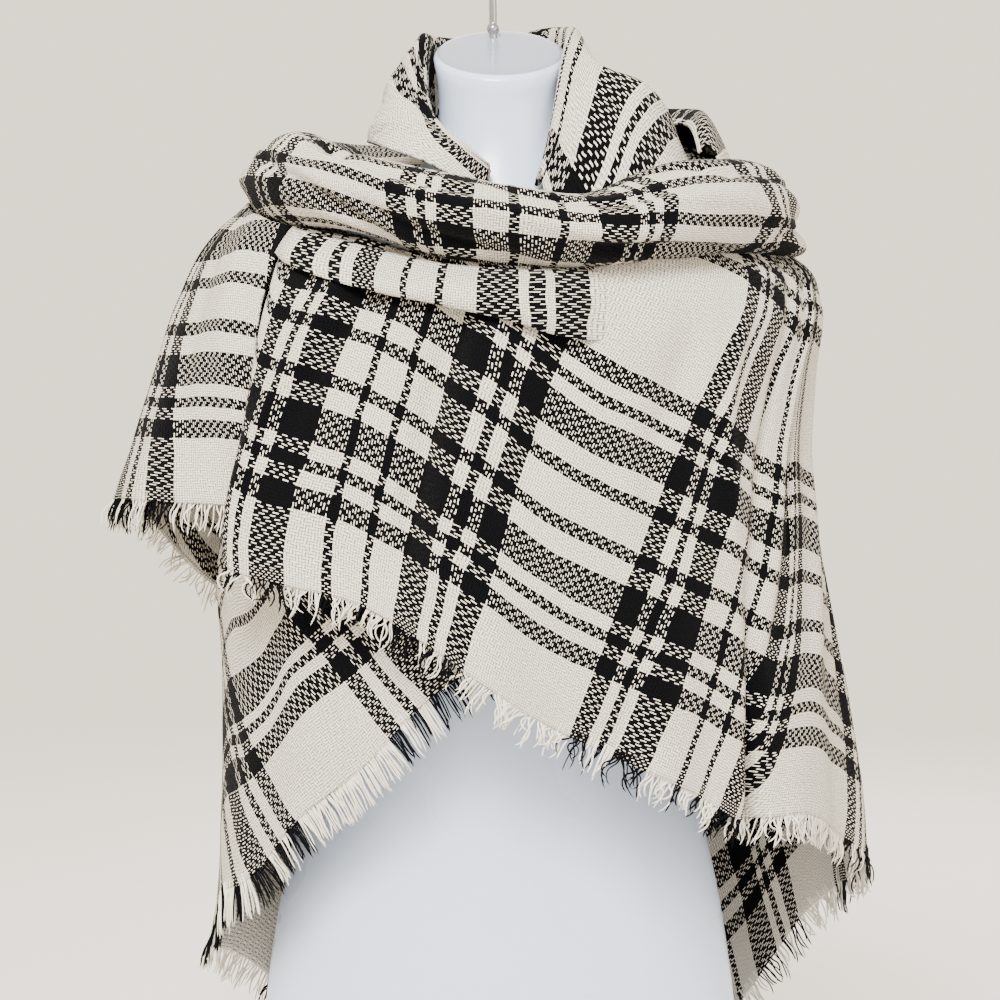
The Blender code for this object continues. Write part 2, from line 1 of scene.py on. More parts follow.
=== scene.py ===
"""A blanket scarf wound as a shawl on a limbless dress form.

Metres, +Z up, the front faces -Y. Angles go round the form in degrees, from 0 at the front
towards +X, 90 at the wearer's left side.
"""

import math
import random
from collections import namedtuple
from functools import lru_cache

import bmesh
import bpy
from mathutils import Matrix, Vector, noise


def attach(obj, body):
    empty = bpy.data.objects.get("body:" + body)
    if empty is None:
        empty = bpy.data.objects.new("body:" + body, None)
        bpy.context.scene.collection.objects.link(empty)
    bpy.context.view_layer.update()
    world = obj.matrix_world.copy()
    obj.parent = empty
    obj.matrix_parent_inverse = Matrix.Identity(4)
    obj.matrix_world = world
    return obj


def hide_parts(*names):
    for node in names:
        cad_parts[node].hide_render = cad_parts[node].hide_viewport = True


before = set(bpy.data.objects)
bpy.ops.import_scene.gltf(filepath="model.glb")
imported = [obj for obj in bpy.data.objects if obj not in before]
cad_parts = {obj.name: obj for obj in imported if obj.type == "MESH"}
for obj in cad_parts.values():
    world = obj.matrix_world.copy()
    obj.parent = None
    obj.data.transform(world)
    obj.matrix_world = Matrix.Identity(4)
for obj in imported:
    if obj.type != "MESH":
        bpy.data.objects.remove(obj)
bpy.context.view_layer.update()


# ---- Camera, lights and floor ------------------------------------------------------------------
# A long lens looks at the chest from the front, a little from above, under soft studio light. The
# pale floor fades out far from the form, so that no edge of it shows.
camera_data = bpy.data.cameras.new("camera")
camera_data.sensor_width = 36.0
camera_data.lens = 95.6
camera = bpy.data.objects.new("camera", camera_data)
camera.location = (0.0, -1.95, 0.670)
aim = Vector((0.0, 0.0, 0.5676)) - camera.location
camera.rotation_euler = aim.to_track_quat("-Z", "Y").to_euler()
bpy.context.scene.collection.objects.link(camera)
bpy.context.scene.camera = camera


def soft_light(name, place, target, size, power, colour):
    """A square area light that looks at target."""
    data = bpy.data.lights.new(name, "AREA")
    data.shape = "SQUARE"
    data.size = size
    data.energy = power
    data.color = colour
    light = bpy.data.objects.new(name, data)
    light.location = place
    light.rotation_euler = (Vector(target) - Vector(place)).to_track_quat("-Z", "Y").to_euler()
    bpy.context.scene.collection.objects.link(light)


soft_light("key", (-0.45, -2.0, 2.3), (0.0, 0.0, 0.60), 0.9, 190.0, (1.0, 0.975, 0.94))
soft_light("fill", (1.6, -1.9, 1.0), (0.0, 0.0, 0.5), 1.6, 20.0, (0.96, 0.98, 1.0))
soft_light("back_fill", (0.6, 2.2, 1.6), (0.0, 0.0, 0.5), 1.8, 45.0, (1.0, 0.99, 0.97))

world = bpy.data.worlds.new("studio")
world.use_nodes = True
world.node_tree.nodes["Background"].inputs["Color"].default_value = (0.93, 0.82, 0.66, 1.0)
world.node_tree.nodes["Background"].inputs["Strength"].default_value = 2.0
bpy.context.scene.world = world


class Socket:
    """One output in a material's nodes, with operators for shader maths."""

    def __init__(self, shader, link):
        self.shader, self.link = shader, link

    def maths(self, operation, first, second=0.0):
        return self.shader.node("ShaderNodeMath", {"operation": operation}, {0: first, 1: second})

    def __add__(self, other):
        return self.maths("ADD", self, other)

    def __radd__(self, other):
        return self.maths("ADD", other, self)

    def __sub__(self, other):
        return self.maths("SUBTRACT", self, other)

    def __rsub__(self, other):
        return self.maths("SUBTRACT", other, self)

    def __mul__(self, other):
        return self.maths("MULTIPLY", self, other)

    def __rmul__(self, other):
        return self.maths("MULTIPLY", other, self)

    def __truediv__(self, other):
        return self.maths("DIVIDE", self, other)

    def __pow__(self, other):
        return self.maths("POWER", self, other)

    def __mod__(self, other):
        return self.maths("FLOORED_MODULO", self, other)

    def __gt__(self, other):
        return self.maths("GREATER_THAN", self, other)

    def __lt__(self, other):
        return self.maths("LESS_THAN", self, other)

    def __abs__(self):
        return self.maths("ABSOLUTE", self)

    def floor(self):
        return self.maths("FLOOR", self)

    def sine(self):
        return self.maths("SINE", self)

    def either(self, low, high):
        """low where this is 0, high where it is 1."""
        return low + (high - low) * self


class Shader:
    """A material whose nodes are added one call at a time."""

    def __init__(self, name):
        self.material = bpy.data.materials.new(name)
        self.material.use_nodes = True
        self.surface = self.material.node_tree.nodes["Principled BSDF"]

    def node(self, kind, settings, inputs, output=0):
        """The output of a new node: its type, its settings, then its inputs."""
        made = self.material.node_tree.nodes.new(kind)
        for key, value in settings.items():
            setattr(made, key, value)
        for key, value in inputs.items():
            self.feed(made.inputs[key], value)
        return Socket(self, made.outputs[output])

    def feed(self, socket, value):
        if isinstance(value, Socket):
            self.material.node_tree.links.new(value.link, socket)
        else:
            socket.default_value = value

    def set(self, **values):
        """Inputs of the surface, by name with underscores for spaces."""
        for key, value in values.items():
            self.feed(self.surface.inputs[key.replace("_", " ")], value)

    def mix(self, factor, low, high):
        """A colour between two colours."""
        settings = {"data_type": "RGBA"}
        return self.node("ShaderNodeMix", settings, {0: factor, 6: low, 7: high}, 2)

    def noise(self, place, scale, detail=2.0, output=0):
        inputs = {"Vector": place, "Scale": scale, "Detail": detail}
        return self.node("ShaderNodeTexNoise", {}, inputs, output)

    def object_place(self):
        return self.node("ShaderNodeTexCoord", {}, {}, "Object")


def add_object(name, mesh, shader, smooth=True):
    """An object with one material from a bmesh."""
    data = bpy.data.meshes.new(name)
    mesh.to_mesh(data)
    mesh.free()
    if smooth:
        data.shade_smooth()
    data.materials.append(shader.material)
    obj = bpy.data.objects.new(name, data)
    bpy.context.scene.collection.objects.link(obj)
    return obj


FLOOR_SOLID, FLOOR_GONE = 1.2, 4.0  # how far from the middle the floor starts and ends its fade
floor_shader = Shader("pale_floor")
floor_place = floor_shader.object_place()
speckle = floor_shader.noise(floor_place, 3.0)
reach = floor_shader.node("ShaderNodeVectorMath", {"operation": "LENGTH"}, {0: floor_place}, "Value")
fade = floor_shader.node("ShaderNodeMapRange", {"interpolation_type": "SMOOTHSTEP"}, {
    "Value": reach, "From Min": FLOOR_SOLID, "From Max": FLOOR_GONE, "To Min": 1.0, "To Max": 0.0,
})
floor_shader.set(
    Base_Color=floor_shader.mix(speckle, (0.80, 0.78, 0.76, 1.0), (0.83, 0.81, 0.79, 1.0)),
    Roughness=0.8,
    Alpha=fade,
)
floor_mesh = bmesh.new()
bmesh.ops.create_grid(floor_mesh, x_segments=2, y_segments=2, size=14.0)
floor = add_object("floor", floor_mesh, floor_shader, smooth=False)


# ---- Dress form --------------------------------------------------------------------------------
# One hollow blow-moulded shell of bluish white plastic, glossy, with a round cap that leans on
# the neck. It has no arms, head or legs.
Ring = namedtuple("Ring", "z side front back lean")
FORM = [
    Ring(0.000, 0.160, 0.088, 0.092, 0.0),
    Ring(0.060, 0.172, 0.096, 0.102, 0.0),
    Ring(0.130, 0.178, 0.100, 0.108, 0.0),
    Ring(0.200, 0.173, 0.100, 0.106, 0.0),
    Ring(0.270, 0.163, 0.098, 0.098, 0.0),
    Ring(0.330, 0.150, 0.094, 0.088, 0.0),
    Ring(0.400, 0.132, 0.090, 0.080, 0.0),
    Ring(0.470, 0.124, 0.090, 0.076, 0.0),
    Ring(0.540, 0.134, 0.102, 0.080, 0.0),
    Ring(0.610, 0.148, 0.114, 0.088, 0.0),
    Ring(0.670, 0.156, 0.110, 0.092, 0.0),
    Ring(0.715, 0.158, 0.094, 0.088, 0.0),
    Ring(0.742, 0.152, 0.080, 0.080, 0.0),
    Ring(0.762, 0.134, 0.068, 0.072, 0.0),
    Ring(0.778, 0.110, 0.058, 0.064, 0.0),
    Ring(0.793, 0.084, 0.052, 0.057, 0.0),
    Ring(0.810, 0.060, 0.048, 0.051, 0.02),
    Ring(0.830, 0.047, 0.045, 0.046, 0.08),
    Ring(0.858, 0.0445, 0.0445, 0.0445, 0.24),
    Ring(0.886, 0.0475, 0.0475, 0.0475, 0.46),
    Ring(0.889, 0.0485, 0.0485, 0.0485, 0.46),
]
# The cap: its height in the middle, how far it drops towards the front, and its rounded rim.
CAP_Z, CAP_LEAN, CAP_RADIUS, CAP_RIM = 0.8950, 0.46, 0.0485, 0.006
FORM_LEVELS, RIM_STEPS = 110, 8  # rings from the underside to the cap's rim, and round the rim


def along(rows, place):
    """The columns after the first, on a smooth curve through the rows, at a value of the first."""
    last = len(rows) - 1
    if place <= rows[0][0]:
        return rows[0][1:]
    if place >= rows[last][0]:
        return rows[last][1:]
    here = max(i for i in range(last) if rows[i][0] <= place)
    a, b = rows[here], rows[here + 1]
    before, after = rows[max(here - 1, 0)], rows[min(here + 2, last)]
    step = b[0] - a[0]
    t = (place - a[0]) / step
    values = []
    for k in range(1, len(a)):
        slope_a = (b[k] - before[k]) / (b[0] - before[0]) * step
        slope_b = (after[k] - a[k]) / (after[0] - a[0]) * step
        rise = b[k] - a[k]
        value = a[k] + t * slope_a + t * t * (3 * rise - 2 * slope_a - slope_b)
        values.append(value + t * t * t * (slope_a + slope_b - 2 * rise))
    return values


def grid(columns, rows, point, closed=False):
    """A bmesh grid laid on point(u, v), u and v from 0 to 1. A closed one is joined along u."""
    mesh = bmesh.new()
    bmesh.ops.create_grid(mesh, x_segments=columns, y_segments=rows, size=0.5)
    for vert in mesh.verts:
        vert.co = point(vert.co.x + 0.5, vert.co.y + 0.5)
    if closed:
        bmesh.ops.remove_doubles(mesh, verts=mesh.verts, dist=1e-6)
    return mesh


def form_section():
    """Half widths, depths and lean from the underside to the cap's middle."""
    neck_top = CAP_Z - CAP_RIM
    levels = [k * neck_top / FORM_LEVELS for k in range(FORM_LEVELS)]
    sections = [(z, *along(FORM, z)) for z in levels]
    for step in range(1, RIM_STEPS + 1):
        turn = math.radians(90 * step / RIM_STEPS)
        radius = CAP_RADIUS - CAP_RIM * (1 - math.cos(turn))
        z = CAP_Z - CAP_RIM * (1 - math.sin(turn))
        sections.append((z, radius, radius, radius, CAP_LEAN))
    for share in (0.8, 0.5, 0.2, 0.01):
        radius = (CAP_RADIUS - CAP_RIM) * share
        sections.append((CAP_Z, radius, radius, radius, CAP_LEAN))
    return sections


form_sections = form_section()


def form_skin(u, v):
    z, side, front, back, lean = form_sections[round(v * (len(form_sections) - 1))]
    turn = 2 * math.pi * u
    y = -(front if math.cos(turn) > 0 else back) * math.cos(turn)
    return Vector((side * math.sin(turn), y, z + lean * y))


form_mesh = grid(128, len(form_sections) - 1, form_skin, closed=True)
bmesh.ops.holes_fill(form_mesh, edges=[e for e in form_mesh.edges if e.is_boundary], sides=0)
plastic = Shader("white_plastic")
form_place = plastic.object_place()
mould = plastic.noise(form_place, 7.0, 3.0)
orange_peel = plastic.noise(form_place, 260.0, 1.0)
deep = plastic.node("ShaderNodeSeparateXYZ", {}, {0: form_place}, "Y")
high = plastic.node("ShaderNodeSeparateXYZ", {}, {0: form_place}, "Z")
# Painted shade: the cap's top face, which faces away from the light, is coloured a dark blue-grey.
painted_shade_cap_top = (high - CAP_LEAN * deep) > CAP_Z - 0.001
shell = plastic.mix(mould, (0.50, 0.59, 0.76, 1.0), (0.54, 0.63, 0.80, 1.0))
plastic.set(
    Base_Color=plastic.mix(painted_shade_cap_top * 0.9, shell, (0.22, 0.25, 0.33, 1.0)),
    Roughness=mould.either(0.22, 0.34),
    Coat_Weight=0.25,
    Coat_Roughness=0.12,
    Subsurface_Weight=0.06,
    Subsurface_Radius=(0.01, 0.012, 0.016),
    Normal=plastic.node("ShaderNodeBump", {}, {"Strength": 0.05, "Distance": 0.0004,
                                               "Height": orange_peel}),
)
torso = add_object("torso_shell", form_mesh, plastic)
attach(torso, "root")
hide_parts("form_torso")


# ---- Hanging hook ------------------------------------------------------------------------------
# A chromed steel rod that turns in a hole in the cap, with a bead at its foot. It is bent round at
# the top, to hang from a rail.
ROD_RADIUS, ROD_PLACE = 0.003, (-0.005, 0.030)
BEAD_RADIUS, BEAD_Z = 0.0048, 0.9150
HOOK_TIP = 0.985  # the share of its length from which the end is rounded off
HOOK_ROUTE = [
    (0.0, 0.8955), (0.0, 0.9105), (0.0, 0.9240), (0.0, 0.9440), (0.0030, 0.9560), (0.0120, 0.9660),
    (0.0200, 0.9790), (0.0190, 0.9940), (0.0100, 1.0050), (-0.0040, 1.0070), (-0.0150, 0.9990),
    (-0.0190, 0.9860), (-0.0170, 0.9760),
]
hook_rows = [(k, *place) for k, place in enumerate(HOOK_ROUTE)]


def hook_skin(u, v):
    span = len(HOOK_ROUTE) - 1
    across, z = along(hook_rows, v * span)
    ahead, behind = along(hook_rows, (v + 0.01) * span), along(hook_rows, (v - 0.01) * span)
    run, rise = ahead[0] - behind[0], ahead[1] - behind[1]
    length = math.hypot(run, rise)
    radius = ROD_RADIUS
    if abs(z - BEAD_Z) < BEAD_RADIUS:
        radius = max(radius, math.sqrt(BEAD_RADIUS ** 2 - (z - BEAD_Z) ** 2))
    if v > HOOK_TIP:
        radius *= math.sqrt(max(1 - ((v - HOOK_TIP) / (1.0001 - HOOK_TIP)) ** 2, 0.0))
    turn = 2 * math.pi * u
    out = radius * math.sin(turn)
    return Vector((ROD_PLACE[0] + across + out * rise / length,
                   ROD_PLACE[1] - radius * math.cos(turn), z - out * run / length))


chrome = Shader("bright_chrome")
hook_place = chrome.object_place()
rubbed = chrome.noise(hook_place, 90.0, 3.0)
chrome.set(
    Base_Color=chrome.mix(rubbed, (0.26, 0.26, 0.28, 1.0), (0.46, 0.46, 0.48, 1.0)),
    Metallic=1.0,
    Roughness=rubbed.either(0.10, 0.24),
)
hook = add_object("hook_rod", grid(28, 220, hook_skin, closed=True), chrome)
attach(hook, "hook")
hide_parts("hanging_hook")


# ---- Front panel -------------------------------------------------------------------------------
# The outer stretch of the one square of loosely woven soft yarn. It crosses the chest from the
# right shoulder to the left side, with a few hanging folds and a deep pleat at the hip.
Envelope = namedtuple("Envelope", "z right left front back")
# How far out the shawl's outer stretches stand at each height, and those that lie under them.
OUTER = [
    Envelope(0.00, 0.240, 0.262, 0.185, 0.165),
    Envelope(0.20, 0.255, 0.267, 0.180, 0.165),
    Envelope(0.30, 0.265, 0.266, 0.178, 0.163),
    Envelope(0.40, 0.275, 0.256, 0.175, 0.160),
    Envelope(0.50, 0.284, 0.240, 0.170, 0.154),
    Envelope(0.56, 0.285, 0.230, 0.166, 0.148),
    Envelope(0.61, 0.268, 0.223, 0.163, 0.143),
    Envelope(0.66, 0.252, 0.225, 0.158, 0.138),
    Envelope(0.700, 0.238, 0.231, 0.152, 0.133),
    Envelope(0.720, 0.229, 0.229, 0.145, 0.131),
    Envelope(0.732, 0.224, 0.226, 0.131, 0.129),
    Envelope(0.745, 0.217, 0.213, 0.120, 0.127),
    Envelope(0.755, 0.210, 0.198, 0.113, 0.121),
    Envelope(0.766, 0.201, 0.186, 0.108, 0.112),
    Envelope(0.775, 0.191, 0.178, 0.105, 0.107),
    Envelope(0.784, 0.183, 0.173, 0.103, 0.105),
]
INNER = [
    Envelope(0.00, 0.232, 0.262, 0.152, 0.152),
    Envelope(0.20, 0.222, 0.264, 0.151, 0.151),
    Envelope(0.27, 0.210, 0.264, 0.150, 0.150),
    Envelope(0.40, 0.205, 0.256, 0.149, 0.147),
    Envelope(0.55, 0.205, 0.230, 0.146, 0.138),
    Envelope(0.62, 0.201, 0.222, 0.141, 0.132),
    Envelope(0.70, 0.188, 0.221, 0.131, 0.124),
    Envelope(0.76, 0.172, 0.208, 0.114, 0.116),
    Envelope(0.84, 0.150, 0.190, 0.095, 0.106),
]
# Warp threads: the place along the cut edge, the angle at the hem, halfway up and at the top, the
# height at the hem and at the top, and how far out the hem is lifted.
Warp = namedtuple("Warp", "cloth foot middle head foot_z head_z lift")
FRONT = [
    Warp(-0.262, -38.0, -42.6, -46.0, 0.541, 0.7645, -0.007),
    Warp(-0.252, -41.6, -43.2, -45.4, 0.540, 0.7640, -0.002),
    Warp(-0.238, -40.6, -41.4, -42.6, 0.530, 0.7625, 0.005),
    Warp(-0.2165, -37.2, -36.6, -35.0, 0.524, 0.7590, 0.006),
    Warp(-0.148, -21.5, -18.5, -15.0, 0.508, 0.7470, 0.000),
    Warp(-0.0795, -10.0, -3.5, 3.5, 0.480, 0.7420, 0.004),
    Warp(0.000, 3.5, 12.5, 25.0, 0.434, 0.7460, 0.000),
    Warp(0.0795, 16.5, 30.0, 46.0, 0.404, 0.7540, 0.000),
    Warp(0.148, 29.0, 45.0, 60.0, 0.378, 0.7570, 0.002),
    Warp(0.2165, 39.5, 58.0, 72.0, 0.354, 0.7590, 0.000),
    Warp(0.296, 54.0, 70.0, 84.0, 0.353, 0.7600, 0.002),
    Warp(0.375, 72.0, 84.5, 96.0, 0.326, 0.7600, 0.000),
    Warp(0.444, 86.0, 97.0, 107.0, 0.302, 0.7600, 0.002),
    Warp(0.513, 101.0, 111.0, 118.0, 0.280, 0.7600, 0.000),
]
# Hanging folds: the angles at the foot and the head, the heights there, half width in degrees, and
# depth, which is above 0 for a ridge.
Fold = namedtuple("Fold", "foot head low high width depth")
OUTER_FOLDS = [
    Fold(-30.0, -26.0, 0.44, 0.68, 5.0, 0.006),
    Fold(-4.0, -3.0, 0.44, 0.74, 6.0, 0.010),
    Fold(8.0, 20.0, 0.38, 0.66, 6.0, -0.004),
    Fold(22.0, 38.0, 0.34, 0.72, 6.5, 0.007),
    Fold(34.0, 54.0, 0.30, 0.70, 4.5, 0.006),
    Fold(41.5, 47.0, 0.30, 0.56, 1.9, -0.027),
    Fold(50.0, 60.0, 0.30, 0.60, 5.0, 0.004),
    Fold(66.0, 82.0, 0.28, 0.74, 6.0, -0.005),
    Fold(80.0, 92.0, 0.26, 0.72, 6.0, 0.005),
    Fold(-66.0, -62.0, 0.54, 0.76, 8.0, 0.006),
    Fold(-98.0, -92.0, 0.50, 0.76, 8.0, -0.006),
    Fold(-120.0, -112.0, 0.44, 0.74, 8.0, 0.007),
]
INNER_FOLDS = [
    Fold(128.0, 134.0, 0.10, 0.70, 7.0, -0.008),
    Fold(144.0, 148.0, 0.06, 0.66, 7.0, 0.009),
    Fold(162.0, 164.0, 0.02, 0.72, 7.0, -0.009),
    Fold(179.0, 178.0, 0.02, 0.60, 7.0, 0.010),
    Fold(197.0, 194.0, 0.04, 0.70, 7.0, -0.010),
    Fold(215.0, 211.0, 0.08, 0.64, 7.0, 0.009),
    Fold(234.0, 230.0, 0.14, 0.66, 7.0, -0.008),
    Fold(252.0, 250.0, 0.20, 0.60, 8.0, 0.007),
    Fold(300.0, 304.0, 0.26, 0.60, 7.0, 0.006),
    Fold(322.0, 328.0, 0.30, 0.60, 6.0, -0.005),
    Fold(340.0, 344.0, 0.34, 0.60, 6.0, 0.005),
]
FOLDS_END = 5  # the folds fade out at the top, over one part in this many of the height
BACK_JOINS_OUTER = (118.0, 205.0)  # the angles between which the back goes in from OUTER to INNER
# Creases: from one place on the cloth to another, half width, and depth. Both places
# are along the cut edge and up from it.
Crease = namedtuple("Crease", "u0 v0 u1 v1 width depth")
FRONT_CREASES = [
    Crease(-0.110, 0.24, -0.113, 0.04, 0.010, -0.0080),
    Crease(-0.086, 0.25, -0.084, 0.03, 0.011, 0.0055),
    Crease(-0.170, 0.26, -0.205, 0.10, 0.010, -0.0045),
    Crease(-0.200, 0.24, -0.232, 0.05, 0.009, 0.0045),
    Crease(-0.045, 0.27, -0.050, 0.10, 0.012, -0.0040),
    Crease(0.010, 0.31, 0.060, 0.14, 0.016, -0.0060),
    Crease(0.050, 0.33, 0.115, 0.18, 0.010, 0.0055),
    Crease(0.120, 0.38, 0.150, 0.16, 0.009, -0.0060),
    Crease(0.165, 0.40, 0.178, 0.12, 0.010, 0.0055),
    Crease(0.205, 0.41, 0.205, 0.20, 0.007, -0.0060),
    Crease(0.262, 0.42, 0.285, 0.10, 0.014, 0.0060),
    Crease(0.330, 0.40, 0.345, 0.08, 0.013, -0.0060),
    Crease(0.400, 0.42, 0.410, 0.10, 0.013, 0.0055),
    Crease(0.465, 0.42, 0.470, 0.06, 0.014, -0.0050),
    Crease(-0.030, 0.09, 0.120, 0.055, 0.020, 0.0035),
    Crease(0.075, 0.12, 0.085, 0.00, 0.010, -0.0045),
]
# The sett from the middle of a white block outwards to the middle of the grid of thin lines: the
# black stretches of warp and of weft, and how far it is to the next white block.
WARP_BLACK = [(0.0500, 0.0645), (0.0725, 0.0780), (0.0850, 0.1090), (0.1320, 0.1375)]
WEFT_BLACK = [(0.0490, 0.0625), (0.0715, 0.0805), (0.0895, 0.1145), (0.1290, 0.1390)]
WARP_REPEAT, WEFT_REPEAT = 0.296, 0.304
# Soft cloth is stretched and skewed as it hangs: how far the sett lies from the even spacing along
# the cut edge at the hem, halfway up and at the top, and how far up it lies.
Slip = namedtuple("Slip", "cloth foot middle head up")
FRONT_SLIP = [
    Slip(-0.262, 0.000, -0.004, -0.020, -0.018),
    Slip(-0.190, 0.000, -0.003, -0.018, -0.018),
    Slip(-0.097, 0.000, 0.003, -0.004, 0.000),
    Slip(-0.034, 0.000, -0.010, -0.020, 0.000),
    Slip(0.055, 0.004, -0.023, -0.054, -0.004),
    Slip(0.100, 0.000, -0.030, -0.062, -0.005),
    Slip(0.140, -0.003, -0.034, -0.070, -0.005),
    Slip(0.180, 0.004, -0.036, -0.072, -0.005),
    Slip(0.2115, 0.012, -0.040, -0.082, -0.005),
    Slip(0.231, 0.015, -0.040, -0.084, -0.005),
    Slip(0.300, -0.005, -0.045, -0.088, -0.005),
    Slip(0.372, -0.026, -0.060, -0.092, -0.005),
    Slip(0.513, -0.026, -0.060, -0.092, -0.005),
]
THREAD = 0.0019  # the width of one thread
WHITE_OVER_BLACK = 0.38  # how much of its width a white thread covers where a black one crosses it
SLOW_WANDER, QUICK_WANDER = 0.0050, 0.0011  # how far threads stray, over long and short stretches
HEM_BAND = 0.009  # how far up from the cut edge the weave is plain
PAINTED_GAP_SHADE = 0.04  # how light the painted shade leaves the gaps between threads
UNEVEN, UNEVEN_PITCH = 0.0011, 16  # how high the cloth's slight waves are, and how close together
CREASE_END, CREASE_BOW = 0.2, 0.25  # how far a crease runs on past its ends, and winds, in widths
LENGTH_STEPS = 12  # chords in the measured length of a warp thread
CREAM, BLACK = (0.80, 0.75, 0.65, 1.0), (0.0022, 0.0022, 0.0032, 1.0)


def soft(t):
    """0 to 1 with level ends."""
    t = min(max(t, 0.0), 1.0)
    return t * t * (3 - 2 * t)


def fold_lift(folds, angle, z):
    """How far the folds lift the cloth at this place."""
    lift = 0.0
    for fold in folds:
        up = min(max((z - fold.low) / (fold.high - fold.low), 0.0), 1.0)
        off = (angle - fold.foot - (fold.head - fold.foot) * up) / fold.width
        lift += fold.depth * (1 - soft(up)) * math.exp(-off * off)
    return lift


def on_envelope(angle, z, lift, inside):
    """A point on the outer envelope, on the inner one at inside 1, or between, moved out by lift."""
    outer, inner = along(OUTER, z), along(INNER, z)
    right, left, front, back = (a + (b - a) * inside for a, b in zip(outer, inner))
    turn = math.radians(angle)
    side = left if math.sin(turn) > 0 else right
    depth = front if math.cos(turn) > 0 else back
    return Vector(((side + lift) * math.sin(turn), -(depth + lift) * math.cos(turn), z))


def bowed(foot, middle, head, rise):
    """An even curve from foot, at rise 0, by way of middle to head, at rise 1."""
    lean = 2 * (foot + head - 2 * middle) * rise * rise + (4 * middle - 3 * foot - head) * rise
    return foot + lean


def warp_place(rows, cloth, rise):
    """The angle, height and lift at a place along the cut edge, at rise from 0 at the hem to 1."""
    foot, middle, head, foot_z, head_z, lift = along(rows, cloth)
    return bowed(foot, middle, head, rise), foot_z + (head_z - foot_z) * rise, lift


def warp_point(rows, cloth, rise, inner=False):
    """The shawl's face, at rise from 0 at the hem to 1. An inner stretch goes in under the others."""
    angle, z, lift = warp_place(rows, cloth, rise)
    start, end = BACK_JOINS_OUTER
    depth = soft((angle - start) / (end - start)) if inner else 0.0
    folds = fold_lift(INNER_FOLDS if inner else OUTER_FOLDS, angle, z) * soft((1 - rise) * FOLDS_END)
    return on_envelope(angle, z, lift * (1 - rise) + folds, depth)


def relief(creases, u, v):
    """How far the creases move the cloth out, with the slight unevenness of soft cloth."""
    lift = UNEVEN * noise.noise(Vector((u * UNEVEN_PITCH, v * UNEVEN_PITCH, 0.5)))
    for crease in creases:
        run_u, run_v = crease.u1 - crease.u0, crease.v1 - crease.v0
        length = math.hypot(run_u, run_v)
        t = ((u - crease.u0) * run_u + (v - crease.v0) * run_v) / length ** 2
        if -CREASE_END < t < 1 + CREASE_END:
            bow = CREASE_BOW * crease.width * math.sin(7 * t + 40 * crease.u0)
            off = ((u - crease.u0) * run_v - (v - crease.v0) * run_u) / length + bow
            ends = soft((t / CREASE_END + 1) / 2) * soft(((1 - t) / CREASE_END + 1) / 2)
            lift += crease.depth * ends * math.exp(-(off / crease.width) ** 2)
    return lift


def black_share(place, stretches, repeat):
    """1 where the thread at this place across the sett is black. place is a number or a Socket."""
    off = abs((place + repeat / 2) % repeat - repeat / 2)
    found = 0.0
    for low, high in stretches:
        found = found + (off > low) * (off < high)
    return found


def woven(name, hem_finer=True):
    """The plaid: soft 2/2 broken twill in black and cream yarn, from the metric map of the cloth."""
    shader = Shader(name)
    flat = shader.node("ShaderNodeUVMap", {"uv_map": "cloth"}, {})
    drift = shader.noise(flat, 28.0, 1.0, "Color")
    wander = shader.noise(flat, 210.0, 1.0, "Color")
    across = []
    for axis in "XY":
        straight = shader.node("ShaderNodeSeparateXYZ", {}, {0: flat}, axis)
        slow = shader.node("ShaderNodeSeparateXYZ", {}, {0: drift}, axis)
        quick = shader.node("ShaderNodeSeparateXYZ", {}, {0: wander}, axis)
        across.append(straight + (slow - 0.5) * SLOW_WANDER + (quick - 0.5) * QUICK_WANDER)
    warp, weft = across[0] / THREAD, across[1] / THREAD
    warp_count, weft_count = warp.floor(), weft.floor()
    row = weft_count % 4.0
    step = row + (row > 1.5) * (5.0 - 2.0 * row)
    twill = (warp_count + step + 0.5) % 4.0 < 2.0
    over = twill
    if hem_finer:
        plain = (warp_count + weft_count + 0.5) % 2.0 < 1.0
        over = (across[1] < HEM_BAND).either(twill, plain)
    warp_black = black_share((warp_count + 0.5) * THREAD, WARP_BLACK, WARP_REPEAT)
    weft_black = black_share((weft_count + 0.5) * THREAD, WEFT_BLACK, WEFT_REPEAT)
    top_black, under_black = over.either(weft_black, warp_black), over.either(warp_black, weft_black)
    off_middle = abs(over.either(weft - weft_count, warp - warp_count) - 0.5)
    beside = (off_middle > WHITE_OVER_BLACK / 2) * under_black
    black = top_black + (1.0 - top_black) * beside

    warp_round = ((warp - warp_count) * math.pi).sine()
    weft_round = ((weft - weft_count) * math.pi).sine()
    height = over.either(weft_round, warp_round) ** 0.8
    fibre = shader.noise(flat, 2600.0, 1.0)
    tuft = shader.noise(flat, 420.0, 2.0)
    patch = shader.noise(flat, 16.0, 2.0)
    # Painted shade: the colour darkens from each thread's crown to its edges, into the gaps between
    # threads where shade falls. The tufts and patches vary its tone at random.
    shade = (PAINTED_GAP_SHADE + height) * tuft.either(0.55, 1.25) * patch.either(0.86, 1.06)
    plain_colour = shader.mix(black, CREAM, BLACK)
    lit = shader.node("ShaderNodeVectorMath", {"operation": "SCALE"},
                      {0: plain_colour, "Scale": shade})
    bump = shader.node("ShaderNodeBump", {}, {"Strength": 0.55, "Distance": 0.0009,
                                              "Height": height + 0.5 * fibre + 0.7 * tuft})
    shader.set(Base_Color=lit, Roughness=black.either(0.92, 0.80), Normal=bump,
               Sheen_Weight=0.02, Sheen_Roughness=0.5, Specular_IOR_Level=0.03)
    return shader


